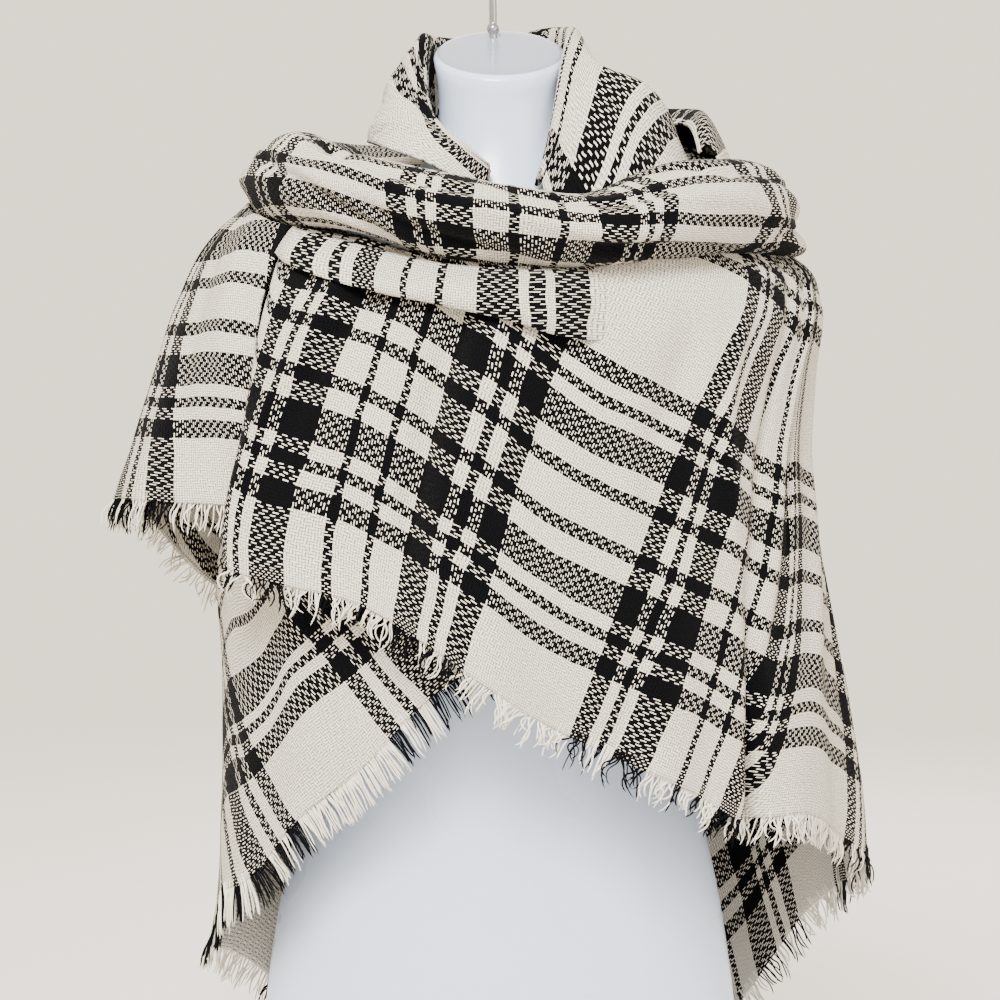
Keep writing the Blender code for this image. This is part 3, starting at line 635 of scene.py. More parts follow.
def cloth_sheet(name, columns, rows, place, flat, creases, wall, shader, crease_place=None):
    """A thin shell. place(u, v) is its outer face, flat(u, v) the place on the flat cloth.

    The creases are placed on the flat cloth too, or on crease_place(u, v) where that is given.
    """
    mesh = bmesh.new()
    bmesh.ops.create_grid(mesh, x_segments=columns, y_segments=rows, size=0.5)
    maps = mesh.loops.layers.uv.new("cloth")
    spots = {vert: (vert.co.x + 0.5, vert.co.y + 0.5) for vert in mesh.verts}
    flats = {vert: flat(*spot) for vert, spot in spots.items()}
    for face in mesh.faces:
        for loop in face.loops:
            loop[maps].uv = flats[loop.vert]
    for vert, spot in spots.items():
        vert.co = place(*spot)
    mesh.normal_update()
    lifts = [(vert, vert.normal * relief(creases, *(crease_place or flat)(*spot)))
             for vert, spot in spots.items()]
    for vert, lift in lifts:
        vert.co += lift
    bmesh.ops.remove_doubles(mesh, verts=mesh.verts, dist=1e-5)
    obj = add_object(name, mesh, shader)
    solidify = obj.modifiers.new("wall", "SOLIDIFY")
    solidify.thickness = wall
    solidify.offset = -1.0
    return obj


def slipped(slips, cloth, rise):
    """How far the sett has slipped along the cut edge and up, at rise from 0 at the hem to 1."""
    foot, middle, head, up = along(slips, cloth)
    return bowed(foot, middle, head, rise), up


def warp_sheet(rows, slips, firm, inner=False):
    """place and flat for a stretch whose warp threads are in a table: arc length up from the hem.

    firm is how far up the cloth has slipped fully.
    """
    first, last = rows[0].cloth, rows[-1].cloth

    @lru_cache(maxsize=None)
    def length(cloth):
        spots = [warp_point(rows, cloth, k / LENGTH_STEPS, inner) for k in range(LENGTH_STEPS + 1)]
        return sum((b - a).length for a, b in zip(spots, spots[1:]))

    def place(u, v):
        return warp_point(rows, first + (last - first) * u, v, inner)

    def flat(u, v):
        cloth = first + (last - first) * u
        slip, up = slipped(slips, cloth, v)
        return cloth + slip, length(round(cloth, 5)) * v + up * soft(v / firm)

    return place, flat


plaid = woven("plaid_twill")
front_place, front_flat = warp_sheet(FRONT, FRONT_SLIP, 0.5)
front_sheet = cloth_sheet("front_cloth", 250, 110, front_place, front_flat, FRONT_CREASES, 0.002, plaid)
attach(front_sheet, "root")
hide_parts("front_panel")


# ---- Left arm panel ----------------------------------------------------------------------------
# The last stretch of the same cloth, which goes on from the front panel by a deep upright fold, over
# the wearer's right arm and round to the back. Its node is named as seen from the front.
ARM = [
    Warp(-0.700, -150.0, -150.0, -150.0, 0.462, 0.7695, 0.004),
    Warp(-0.620, -132.0, -133.0, -135.0, 0.492, 0.7733, 0.006),
    Warp(-0.540, -113.0, -116.0, -118.0, 0.552, 0.7788, 0.000),
    Warp(-0.445, -92.0, -96.0, -99.0, 0.566, 0.7850, 0.002),
    Warp(-0.375, -75.0, -80.0, -84.0, 0.571, 0.7832, 0.000),
    Warp(-0.296, -54.0, -61.0, -64.0, 0.571, 0.7735, -0.002),
    Warp(-0.250, -40.0, -49.5, -52.0, 0.569, 0.7675, -0.011),
    Warp(-0.232, -33.0, -44.1, -46.5, 0.566, 0.7645, -0.013),
]
ARM_CREASES = [
    Crease(-0.290, 0.22, -0.285, 0.02, 0.014, 0.0035),
    Crease(-0.330, 0.22, -0.335, 0.04, 0.012, -0.0030),
    Crease(-0.390, 0.23, -0.385, 0.03, 0.016, 0.0035),
    Crease(-0.450, 0.22, -0.440, 0.05, 0.014, -0.0035),
    Crease(-0.520, 0.24, -0.510, 0.03, 0.016, 0.0040),
    Crease(-0.600, 0.24, -0.590, 0.04, 0.015, -0.0035),
    Crease(-0.660, 0.26, -0.655, 0.04, 0.014, 0.0035),
]
ARM_SLIP = [
    Slip(-0.700, 0.000, 0.000, 0.000, 0.085),
    Slip(-0.600, 0.000, 0.000, 0.000, 0.085),
    Slip(-0.540, 0.000, 0.000, 0.000, 0.045),
    Slip(-0.445, -0.005, -0.003, 0.000, 0.000),
    Slip(-0.375, -0.013, -0.0085, 0.000, 0.000),
    Slip(-0.296, -0.050, -0.033, 0.000, 0.000),
    Slip(-0.250, -0.046, -0.030, 0.000, 0.000),
    Slip(-0.232, -0.046, -0.030, 0.000, 0.000),
]
arm_place, arm_flat = warp_sheet(ARM, ARM_SLIP, 0.01)
arm_sheet = cloth_sheet("arm_cloth", 150, 80, arm_place, arm_flat, ARM_CREASES, 0.002, plaid)
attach(arm_sheet, "root")
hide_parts("left_arm_panel")


# ---- Back shawl --------------------------------------------------------------------------------
# The square's corner hangs at the back. From there the cloth goes on round the right side to the
# inner front panel. Both cut edges of the corner run down to the point.
BACK = [
    Warp(0.00, 101.5, 111.7, 118.6, 0.280, 0.7560, 0.000),
    Warp(0.05, 110.0, 119.0, 126.0, 0.268, 0.7575, 0.003),
    Warp(0.10, 119.0, 127.0, 134.0, 0.240, 0.7593, -0.002),
    Warp(0.16, 132.0, 138.0, 143.0, 0.178, 0.7610, 0.003),
    Warp(0.23, 148.0, 152.0, 155.0, 0.114, 0.7623, -0.003),
    Warp(0.30, 165.0, 167.0, 168.0, 0.060, 0.7633, 0.003),
    Warp(0.36, 180.0, 180.0, 180.0, 0.034, 0.7638, -0.002),
    Warp(0.42, 195.0, 193.0, 192.0, 0.060, 0.7750, 0.003),
    Warp(0.49, 211.0, 209.0, 208.0, 0.108, 0.7780, -0.003),
    Warp(0.56, 227.0, 225.0, 224.0, 0.168, 0.7800, 0.003),
    Warp(0.63, 243.0, 242.0, 241.0, 0.212, 0.7750, -0.002),
    Warp(0.70, 259.0, 259.0, 259.0, 0.234, 0.7550, 0.003),
    Warp(0.77, 275.0, 275.0, 275.0, 0.256, 0.7150, -0.001),
    Warp(0.84, 289.0, 290.0, 292.0, 0.287, 0.7000, 0.002),
    Warp(0.91, 303.0, 305.0, 308.0, 0.303, 0.6950, 0.000),
    Warp(0.98, 318.0, 321.0, 324.0, 0.353, 0.6900, 0.003),
    Warp(1.05, 333.0, 337.0, 341.0, 0.392, 0.6880, -0.002),
    Warp(1.12, 348.0, 352.0, 356.0, 0.443, 0.6860, 0.002),
    Warp(1.17, 362.0, 365.0, 368.0, 0.472, 0.6860, 0.000),
]
# The corner of the square: where it is, also along the cut edges, the warp at the second cut edge,
# and how steep the two cut edges are there. Beyond the point each goes on as a line that bends down
# to half a right angle.
TIP_ANGLE, TIP_Z, TIP_CLOTH, TIP_WARP, TIP_SLOPE = 180.0, 0.034, 0.36, 0.888, 0.82
EDGE_BLEND, LINE_BEND = 0.15, 0.25  # how far from the point the hem takes over, and the line bends
BACK_DEGREE = 0.0036  # metres a degree
BACK_CREASES = [
    Crease(0.560, 0.42, 0.700, 0.16, 0.016, 0.0040),
    Crease(0.640, 0.48, 0.760, 0.22, 0.014, -0.0035),
    Crease(0.700, 0.60, 0.820, 0.30, 0.016, 0.0040),
    Crease(0.560, 0.66, 0.660, 0.52, 0.014, -0.0035),
    Crease(0.480, 0.80, 0.600, 0.66, 0.016, 0.0035),
    Crease(0.820, 0.62, 0.700, 0.74, 0.015, 0.0035),
    Crease(0.780, 0.74, 0.640, 0.86, 0.014, -0.0035),
    Crease(0.860, 0.80, 0.760, 0.90, 0.010, 0.0030),
    Crease(0.830, 0.88, 0.720, 0.96, 0.010, -0.0030),
]


def round_run(angle):
    """How far it is round the shawl from the back's middle, in metres."""
    return BACK_DEGREE * (angle - TIP_ANGLE)


@lru_cache(maxsize=None)
def hem_height(tenths):
    """The height of the back's hem at an angle in tenths of a degree."""
    rows = [(row.foot, row.foot_z) for row in BACK]
    return along(rows, tenths / 10)[0]


def back_flat_plane(angle, z):
    """The place on the flat cloth from the distance to each cut edge, which meet at the point."""
    run, slant = round_run(angle), math.cos(math.radians(45))
    reach = abs(run)
    hem = hem_height(round(angle * 10))
    hem += (TIP_Z + TIP_SLOPE * reach - hem) * (1 - soft(reach / EDGE_BLEND))
    beyond = TIP_Z - reach * (TIP_SLOPE + (1 - TIP_SLOPE) * soft(reach / LINE_BEND))
    from_first = (z - (hem if run < 0 else beyond)) * slant
    from_second = (z - (hem if run > 0 else beyond)) * slant
    return TIP_WARP - from_second, from_first


BACK_SLIP = [Slip(0.0, *FRONT_SLIP[-1][1:]), Slip(BACK[-1].cloth, *FRONT_SLIP[-1][1:])]
INNER_SLIP = -0.012  # how far the weft has slipped on the inner front panel
BACK_RUN_ON = 0.060  # how far the warp has slipped between the left side and the point
BACK_SKEW = 0.215  # and how much further at the top, where the cloth is gathered
# Where along the cut edge each slip starts and over how much it grows, then where it ends and over
# how much it fades.
INNER_SPAN = (0.70, 0.15)
RUN_ON_SPAN = (0.0, 0.12, TIP_CLOTH, 0.20)
SKEW_SPAN = (0.08, 0.26, 0.80, 0.40)
back_place, back_warp_flat = warp_sheet(BACK, BACK_SLIP, 0.5, inner=True)


def within(place, start, rise, end=math.inf, fall=1.0):
    """0 before start, 1 from rise after it, and down to 0 again over fall before end."""
    return soft((place - start) / rise) * soft((end - place) / fall)


def back_flat(u, v):
    """From the warp's own lengths at the left side to the distances from both edges at the point."""
    cloth = BACK[-1].cloth * u
    angle, z, _ = warp_place(BACK, cloth, v)
    near_u, near_v = back_warp_flat(u, v)
    near_u += FRONT[-1].cloth
    far_u, far_v = back_flat_plane(angle, z)
    far_v += INNER_SLIP * within(cloth, *INNER_SPAN)
    far = soft(cloth / TIP_CLOTH)
    slip = BACK_RUN_ON * within(cloth, *RUN_ON_SPAN) + BACK_SKEW * v * within(cloth, *SKEW_SPAN)
    return near_u + (far_u - near_u) * far + slip, near_v + (far_v - near_v) * far


back_sheet = cloth_sheet("back_cloth", 300, 100, back_place, back_flat, BACK_CREASES, 0.002,
                         woven("plaid_twill_back", hem_finer=False))
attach(back_sheet, "root")
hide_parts("back_shawl")


# ---- Cowl roll ---------------------------------------------------------------------------------
# The cloth's folded long side, rolled over softly round the shoulders, thick and full. It lies on
# the stretches below it and isn't pinned or sewn.
Roll = namedtuple("Roll", "angle radius z across up")
COWL = [
    Roll(0.0, 0.118, 0.7660, 0.042, 0.0330),
    Roll(25.0, 0.130, 0.7625, 0.044, 0.0300),
    Roll(45.0, 0.150, 0.7720, 0.042, 0.0335),
    Roll(70.0, 0.172, 0.7790, 0.040, 0.0340),
    Roll(90.0, 0.174, 0.7790, 0.044, 0.0350),
    Roll(120.0, 0.155, 0.7950, 0.038, 0.0350),
    Roll(150.0, 0.125, 0.8000, 0.039, 0.0360),
    Roll(180.0, 0.109, 0.8000, 0.039, 0.0350),
    Roll(210.0, 0.119, 0.8000, 0.038, 0.0340),
    Roll(240.0, 0.138, 0.8030, 0.036, 0.0310),
    Roll(270.0, 0.146, 0.7980, 0.037, 0.0370),
    Roll(290.0, 0.147, 0.7970, 0.038, 0.0350),
    Roll(315.0, 0.138, 0.7900, 0.038, 0.0315),
    Roll(338.0, 0.123, 0.7755, 0.041, 0.0330),
    Roll(360.0, 0.118, 0.7660, 0.042, 0.0330),
]
# How far its lower side spreads on the left shoulder and its upper side sinks in front: the angle
# in the middle, the angles to each side, over how many it fades, and the turn where it is full.
COWL_SETTLE, SETTLE_MIDDLE, SETTLE_SIDES, SETTLE_TURN = 0.028, 88.0, 32.0, 75.0
COWL_DIP, DIP_MIDDLE, DIP_SIDES, DIP_FADE, DIP_TURN = 0.008, -10.0, 66.0, 24.0, 70.0
COWL_JOIN = 12  # the degrees before its join at the back over which the creases fade
COWL_TURN = (158.0, -142.0)  # where its section starts, above by the neck, and ends below
ALONG_ROLL, ROUND_ROLL = 0.0028, 0.00066  # metres a degree
# Where the sett lies on the roll: its warp at each angle, and the turn at which a thin black
# weft line is.
COWL_WARP = [
    (-180.0, -0.454), (-120.0, -0.262), (-80.0, -0.120), (-58.5, -0.050), (-27.2, 0.050),
    (-16.0, 0.085), (-6.3, 0.109), (3.6, 0.134), (9.9, 0.148), (15.0, 0.1612), (23.1, 0.187),
    (31.7, 0.211), (40.2, 0.246), (63.3, 0.346), (90.0, 0.440), (180.0, 0.730),
]
COWL_LINE = [
    (-180.0, -10.0), (-120.0, 20.0), (-60.0, 37.0), (-28.0, 17.0), (-11.0, 15.0), (11.0, 10.0),
    (31.0, 1.0), (55.0, -17.0), (120.0, -22.0), (180.0, -10.0),
]
LINE_WEFT = 0.134
# Creases on the roll, in metres along it from the front and over it from its outermost line.
COWL_CREASES = [
    Crease(-0.210, 0.030, -0.090, -0.030, 0.008, -0.0075),
    Crease(-0.190, 0.050, -0.060, 0.010, 0.007, 0.0055),
    Crease(-0.165, 0.066, -0.120, 0.040, 0.008, -0.0090),
    Crease(-0.120, 0.040, -0.010, 0.022, 0.006, -0.0060),
    Crease(-0.100, -0.010, 0.020, -0.040, 0.007, -0.0060),
    Crease(-0.030, 0.010, 0.090, -0.014, 0.008, 0.0050),
    Crease(0.010, 0.038, 0.120, 0.020, 0.006, -0.0060),
    Crease(0.060, -0.020, 0.170, -0.046, 0.007, -0.0070),
    Crease(0.100, 0.022, 0.200, -0.010, 0.008, 0.0050),
    Crease(0.120, 0.062, 0.165, 0.030, 0.006, -0.0080),
    Crease(0.150, 0.040, 0.260, 0.014, 0.007, -0.0060),
    Crease(0.205, -0.030, 0.270, -0.008, 0.007, -0.0080),
    Crease(0.220, -0.010, 0.330, -0.030, 0.008, -0.0055),
    Crease(0.300, 0.030, 0.440, 0.000, 0.008, 0.0060),
    Crease(0.360, 0.050, 0.500, 0.030, 0.007, -0.0070),
    Crease(0.330, -0.006, 0.470, -0.034, 0.008, -0.0075),
    Crease(0.400, 0.018, 0.490, -0.006, 0.007, -0.0060),
    Crease(-0.330, 0.030, -0.220, 0.000, 0.008, 0.0060),
    Crease(-0.420, 0.000, -0.300, -0.030, 0.008, -0.0075),
    Crease(-0.500, 0.040, -0.360, 0.030, 0.007, -0.0070),
    Crease(-0.400, 0.018, -0.280, 0.044, 0.007, -0.0065),
    Crease(-0.480, -0.008, -0.370, 0.014, 0.008, 0.0055),
]


def round_neck(angle, reach, z):
    """A point at an angle and a reach from the form's middle line."""
    turn = math.radians(angle)
    return Vector((reach * math.sin(turn), -reach * math.cos(turn), z))


def cowl_angles(u, v):
    start, end = COWL_TURN
    return 180.0 - 360.0 * u, start + (end - start) * v


def cowl_place(u, v):
    """The roll's face with its own creases, so that cloth_sheet is given none."""
    angle, turn = cowl_angles(u, v)
    radius, z, across, up = along(COWL, angle % 360.0)
    reach = radius + across * math.cos(math.radians(turn))
    lift = relief(COWL_CREASES, angle * ALONG_ROLL, turn * ROUND_ROLL)
    lift *= soft((180 - abs(angle)) / COWL_JOIN)
    reach += lift * math.cos(math.radians(turn))
    height = z + (up + lift) * math.sin(math.radians(turn))
    in_front = soft((DIP_SIDES - abs(angle - DIP_MIDDLE)) / DIP_FADE)
    height -= COWL_DIP * in_front * soft(turn / DIP_TURN)
    on_shoulder = soft(1 - abs(angle - SETTLE_MIDDLE) / SETTLE_SIDES)
    reach += COWL_SETTLE * on_shoulder * soft(-turn / SETTLE_TURN)
    return round_neck(angle, reach, height)


def cowl_flat(u, v):
    angle, turn = cowl_angles(u, v)
    line = along(COWL_LINE, angle)[0]
    return along(COWL_WARP, angle)[0], LINE_WEFT + (turn - line) * ROUND_ROLL


plaid_inside = woven("plaid_twill_rolled", hem_finer=False)
cowl_sheet = cloth_sheet("cowl_cloth", 320, 64, cowl_place, cowl_flat, [], 0.0026, plaid_inside,
                         crease_place=lambda u, v: (0.0, 0.0))
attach(cowl_sheet, "root")
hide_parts("cowl_roll")


# ---- Under roll --------------------------------------------------------------------------------
# A smaller fold that the front panel makes below the cowl, from the right shoulder to the middle
# of the chest.
Under = namedtuple("Under", "angle low high swell")
UNDER_ROLL = [
    Under(-68.0, 0.764, 0.7710, 0.003),
    Under(-56.0, 0.754, 0.7680, 0.006),
    Under(-44.0, 0.742, 0.7620, 0.009),
    Under(-34.0, 0.730, 0.7560, 0.012),
    Under(-19.0, 0.715, 0.7440, 0.014),
    Under(-9.0, 0.707, 0.7360, 0.015),
    Under(2.0, 0.696, 0.7325, 0.015),
    Under(10.0, 0.686, 0.7325, 0.012),
    Under(18.0, 0.684, 0.7325, 0.007),
    Under(26.0, 0.692, 0.7340, 0.003),
]
UNDER_WARP = [
    (-68.0, -0.300), (-47.0, -0.262), (-33.0, -0.232), (-25.0, -0.211), (-20.8, -0.187),
    (-15.5, -0.161), (-10.0, -0.1355), (-3.8, -0.109), (3.2, -0.085), (4.6, -0.078),
    (7.3, -0.0725), (8.8, -0.0645), (14.7, -0.050), (26.0, -0.030),
]
UNDER_WEFT, UNDER_STRETCH = 0.335, 1.1  # the weft at its upper edge, and metres of it a metre down
UNDER_TOP, UNDER_TUCK = 0.78, 0.25  # from where it goes in under the cowl, and how much of its reach
UNDER_TUCKED = 0.16  # how much the weft grows with the share of the piece that goes in there
UNDER_OFF = 0.0025  # how far it stands off the cloth, and how far its ends sink in
UNDER_ENDS = (9.0, 13.0, -40.0, 9.0)  # from which angle each end sinks, and over how many degrees
UNDER_FULLEST, UNDER_FLATNESS = 0.46, 1.2  # how far up it is fullest, and how flat its section is


def under_spot(u, v):
    angle = UNDER_ROLL[0].angle + (UNDER_ROLL[-1].angle - UNDER_ROLL[0].angle) * u
    low, high, swell = along(UNDER_ROLL, angle)
    return angle, low + (high - low) * v, swell


def under_place(u, v):
    """The fold sinks into the cloth at both ends, and goes in under the cowl along its top."""
    rise = min(v / UNDER_TOP, 1.0)
    angle, z, swell = under_spot(u, rise)
    bulge = swell * math.sqrt(max(1 - (2 * rise - 2 * UNDER_FULLEST) ** 2 / UNDER_FLATNESS, 0.0))
    left_end, left_fade, right_end, right_fade = UNDER_ENDS
    sunk = max(soft((angle - left_end) / left_fade), soft((right_end - angle) / right_fade))
    lift = (UNDER_OFF + bulge) * (1 - sunk) - UNDER_OFF * sunk
    tuck = max(v - UNDER_TOP, 0.0) / (1 - UNDER_TOP)
    spot = on_envelope(angle, z, lift + fold_lift(OUTER_FOLDS, angle, z), 0.0)
    spot.xy *= 1 - UNDER_TUCK * tuck
    return spot


def under_flat(u, v):
    angle, z, _ = under_spot(u, min(v / UNDER_TOP, 1.0))
    high = along(UNDER_ROLL, angle)[1]
    tuck = max(v - UNDER_TOP, 0.0) * UNDER_TUCKED
    return along(UNDER_WARP, angle)[0], UNDER_WEFT - (high - z) * UNDER_STRETCH + tuck


under_sheet = cloth_sheet("under_cloth", 170, 40, under_place, under_flat, [], 0.002, plaid_inside)
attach(under_sheet, "root")
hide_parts("under_roll")


# ---- Collar ------------------------------------------------------------------------------------
# The upper stretch of the cloth stands up round the neck, turns over outwards on to the roll, and
# falls open in a V in front.
Collar = namedtuple("Collar", "angle in_r in_z top_r top_z out_r out_z swell dip")
COLLAR = [
    Collar(24.0, 0.0590, 0.793, 0.0680, 0.804, 0.0790, 0.7860, 0.000, 0.000),
    Collar(33.0, 0.0570, 0.802, 0.0630, 0.824, 0.0900, 0.7850, 0.001, 0.000),
    Collar(45.0, 0.0545, 0.818, 0.0580, 0.852, 0.1160, 0.7920, 0.003, 0.001),
    Collar(58.0, 0.0525, 0.828, 0.0560, 0.886, 0.1300, 0.8030, 0.005, 0.003),
    Collar(72.0, 0.0500, 0.834, 0.0550, 0.905, 0.1400, 0.8085, 0.009, 0.006),
    Collar(90.0, 0.0490, 0.838, 0.0540, 0.911, 0.1400, 0.8095, 0.014, 0.009),
    Collar(115.0, 0.0485, 0.840, 0.0560, 0.916, 0.1280, 0.8220, 0.012, 0.008),
    Collar(150.0, 0.0482, 0.842, 0.0620, 0.918, 0.0960, 0.8300, 0.008, 0.002),
    Collar(180.0, 0.0482, 0.842, 0.0650, 0.913, 0.0810, 0.8300, 0.006, 0.000),
    Collar(210.0, 0.0482, 0.842, 0.0640, 0.911, 0.0860, 0.8290, 0.006, 0.000),
    Collar(240.0, 0.0484, 0.841, 0.0590, 0.910, 0.0940, 0.8290, 0.007, 0.000),
    Collar(270.0, 0.0500, 0.837, 0.0560, 0.906, 0.0960, 0.8285, 0.008, 0.000),
    Collar(290.0, 0.0520, 0.832, 0.0600, 0.879, 0.0980, 0.8265, 0.006, 0.000),
    Collar(308.0, 0.0570, 0.822, 0.0650, 0.852, 0.0990, 0.8200, 0.003, 0.000),
    Collar(325.0, 0.0590, 0.810, 0.0660, 0.834, 0.0940, 0.8110, 0.001, 0.000),
    Collar(340.0, 0.0590, 0.802, 0.0640, 0.821, 0.0850, 0.7990, 0.000, 0.000),
    Collar(353.0, 0.0580, 0.794, 0.0630, 0.809, 0.0740, 0.7910, 0.000, 0.000),
]
COLLAR_TURN, COLLAR_EDGE = 0.005, 0.46  # the radius of its turned edge, and how far down that is
# The sett on the collar: the warp at its turned edge, the weft, and how much the weft grows with
# each metre down from the edge, where the cloth is twisted.
Sett = namedtuple("Sett", "angle warp weft twist")
COLLAR_SETT = [
    Sett(24.0, 0.142, -0.068, 0.0),
    Sett(38.0, 0.149, -0.049, 0.0),
    Sett(72.0, 0.160, 0.002, 0.0),
    Sett(100.0, 0.163, 0.038, 0.0),
    Sett(135.0, 0.155, 0.085, 0.0),
    Sett(175.0, 0.130, 0.130, 0.0),
    Sett(225.0, 0.084, 0.175, 0.0),
    Sett(258.0, 0.062, 0.194, 0.8),
    Sett(270.0, 0.060, 0.198, 1.2),
    Sett(290.0, 0.060, 0.218, 1.2),
    Sett(308.0, 0.062, 0.240, 1.2),
    Sett(318.0, 0.069, 0.255, 1.0),
    Sett(335.0, 0.070, 0.285, 0.6),
    Sett(353.0, 0.070, 0.330, 0.4),
]
# Creases on the collar, by angle and by how far down the section, half width and depth in metres.
COLLAR_CREASES = [
    Crease(52.0, 0.60, 74.0, 0.98, 0.0060, -0.0030),
    Crease(62.0, 0.56, 92.0, 0.92, 0.0070, 0.0030),
    Crease(84.0, 0.58, 112.0, 0.86, 0.0065, -0.0030),
    Crease(40.0, 0.70, 58.0, 1.00, 0.0055, 0.0022),
    Crease(130.0, 0.60, 160.0, 0.95, 0.0070, 0.0025),
    Crease(170.0, 0.60, 196.0, 0.95, 0.0070, -0.0025),
    Crease(206.0, 0.58, 228.0, 0.92, 0.0070, 0.0025),
    Crease(262.0, 0.92, 300.0, 0.66, 0.0065, -0.0032),
    Crease(276.0, 0.98, 318.0, 0.74, 0.0060, 0.0030),
    Crease(258.0, 0.70, 288.0, 0.58, 0.0055, 0.0024),
]
COLLAR_DEGREE, COLLAR_DEPTH = 0.0016, 0.16  # metres a degree and down the whole section


def collar_angle(u):
    return COLLAR[-1].angle + (COLLAR[0].angle - COLLAR[-1].angle) * u


@lru_cache(maxsize=None)
def collar_section(angle):
    """How far down, radius and height from inside by the neck to outside, and the outside's length."""
    in_r, in_z, top_r, top_z, out_r, out_z, swell, dip = along(COLLAR, angle)
    fall = Vector((out_r - top_r, out_z - top_z))
    away = Vector((-fall.y, fall.x)).normalized()
    hollow = Vector((top_r, top_z)) + 0.25 * fall + (swell / 2 - dip) * away
    middle = Vector((top_r, top_z)) + 0.5 * fall + swell * away
    rows = [
        (0.0, in_r, in_z),
        (0.18, (in_r + top_r) / 2 - 0.002, (in_z + top_z) / 2),
        (0.36, top_r - COLLAR_TURN, top_z - COLLAR_TURN),
        (COLLAR_EDGE, top_r, top_z),
        (0.56, top_r + COLLAR_TURN, top_z - COLLAR_TURN * 0.8),
        (0.67, hollow.x, hollow.y),
        (0.78, middle.x, middle.y),
        (1.0, out_r, out_z),
    ]
    return rows, fall.length


def collar_place(u, v):
    angle = collar_angle(u)
    radius, z = along(collar_section(round(angle, 4))[0], v)
    return round_neck(angle, radius, z)


def collar_flat(u, v):
    angle = collar_angle(u)
    _, fall = collar_section(round(angle, 4))
    warp, weft, twist = along(COLLAR_SETT, angle)
    down = v - COLLAR_EDGE
    down *= fall / (1 - COLLAR_EDGE) if down > 0 else COLLAR_DEPTH
    return warp - down, weft + twist * max(down, 0.0)


def metric_creases(creases, across, down):
    """Creases whose places are given in other units, in metres across and down."""
    return [Crease(c.u0 * across, c.v0 * down, c.u1 * across, c.v1 * down, c.width, c.depth)
            for c in creases]


def collar_crease_place(u, v):
    return collar_angle(u) * COLLAR_DEGREE, v * COLLAR_DEPTH


collar_sheet = cloth_sheet("collar_cloth", 180, 60, collar_place, collar_flat,
                           metric_creases(COLLAR_CREASES, COLLAR_DEGREE, COLLAR_DEPTH), 0.0026,
                           plaid_inside, crease_place=collar_crease_place)
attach(collar_sheet, "root")
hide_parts("collar")


# ---- Shoulder fold -----------------------------------------------------------------------------
# A layer of the same cloth that shows between the collar and the roll on the left back shoulder. Its
# outer edge goes down into the roll.
Shoulder = namedtuple("Shoulder", "angle in_r in_z crest_r crest_z out_r out_z")
SHOULDER_FOLD = [
    Shoulder(72.0, 0.1480, 0.8185, 0.156, 0.824, 0.168, 0.8100),
    Shoulder(84.0, 0.1390, 0.8370, 0.151, 0.844, 0.172, 0.8080),
    Shoulder(98.0, 0.1340, 0.8440, 0.151, 0.853, 0.176, 0.8080),
    Shoulder(115.0, 0.1300, 0.8460, 0.148, 0.858, 0.176, 0.8120),
    Shoulder(135.0, 0.118, 0.850, 0.134, 0.862, 0.160, 0.818),
    Shoulder(152.0, 0.112, 0.851, 0.122, 0.860, 0.142, 0.822),
]
SHOULDER_CREST = 0.4  # how far over it the crest is
# The warp at its inner edge and the weft at its back end, and how much less they are opposite.
SHOULDER_WARP, SHOULDER_WEFT = (0.112, 0.034), (0.186, 0.190)


def shoulder_place(u, v):
    angle = SHOULDER_FOLD[-1].angle + (SHOULDER_FOLD[0].angle - SHOULDER_FOLD[-1].angle) * u
    in_r, in_z, crest_r, crest_z, out_r, out_z = along(SHOULDER_FOLD, angle)
    section = [(0.0, in_r, in_z), (SHOULDER_CREST, crest_r, crest_z), (1.0, out_r, out_z)]
    return round_neck(angle, *along(section, v))


def shoulder_flat(u, v):
    return SHOULDER_WARP[0] - SHOULDER_WARP[1] * v, SHOULDER_WEFT[0] - SHOULDER_WEFT[1] * u


shoulder_sheet = cloth_sheet("shoulder_cloth", 70, 22, shoulder_place, shoulder_flat, [], 0.002,
                             plaid_inside)
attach(shoulder_sheet, "root")
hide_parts("shoulder_fold")


# ---- Fringes -----------------------------------------------------------------------------------
# The four cut edges are frayed: the crossing yarn is drawn out, and the yarn that is left curls,
# clings in small groups, and hangs. Each thread has the colour of its stripe.
THREAD_STEPS, THREAD_SIDES = 9, 3
THREAD_RADII = (0.0006, 0.00095)
THREAD_TAPER, THREAD_TIP = 0.35, 0.1  # how much thinner its end is, and how thick its very tip
ROOT, ROOT_DEPTH = 0.006, (0.0004, 0.0018)  # how far back in the cloth a thread starts, and how deep
STEP_UP, STEP_ON = 0.02, 1e-3  # steps up and along the cloth that show which way it faces
CLUSTER = (3, 7)  # how many threads cling together
SCATTER = 0.4  # how far a thread strays from its place in the row, in pitches
SPLAY = 0.08  # how far single threads stand out or in
CURL_BACK, CURL_STEP = -1.3, 3  # how a thread's curl turns round, and at which step
# A row of threads: the places along the cut edge, their pitch and lengths, how much they hang, how
# far the clusters swing sideways, and how much the threads curl.
Fray = namedtuple("Fray", "first last pitch shortest longest hang swing curl")


def yarn_material():
    shader = Shader("loose_yarn")
    place = shader.object_place()
    dark = shader.node("ShaderNodeAttribute", {"attribute_name": "dark"}, {}, "Fac")
    twist = shader.noise(place, 900.0, 2.0)
    colour = shader.mix(dark, CREAM, BLACK)
    lit = shader.node("ShaderNodeVectorMath", {"operation": "SCALE"},
                      {0: colour, "Scale": twist.either(0.75, 1.12)})
    bump = shader.node("ShaderNodeBump", {}, {"Strength": 0.4, "Distance": 0.0005, "Height": twist})
    shader.set(Base_Color=lit, Roughness=0.9, Normal=bump, Sheen_Weight=0.02,
               Specular_IOR_Level=0.04)
    return shader


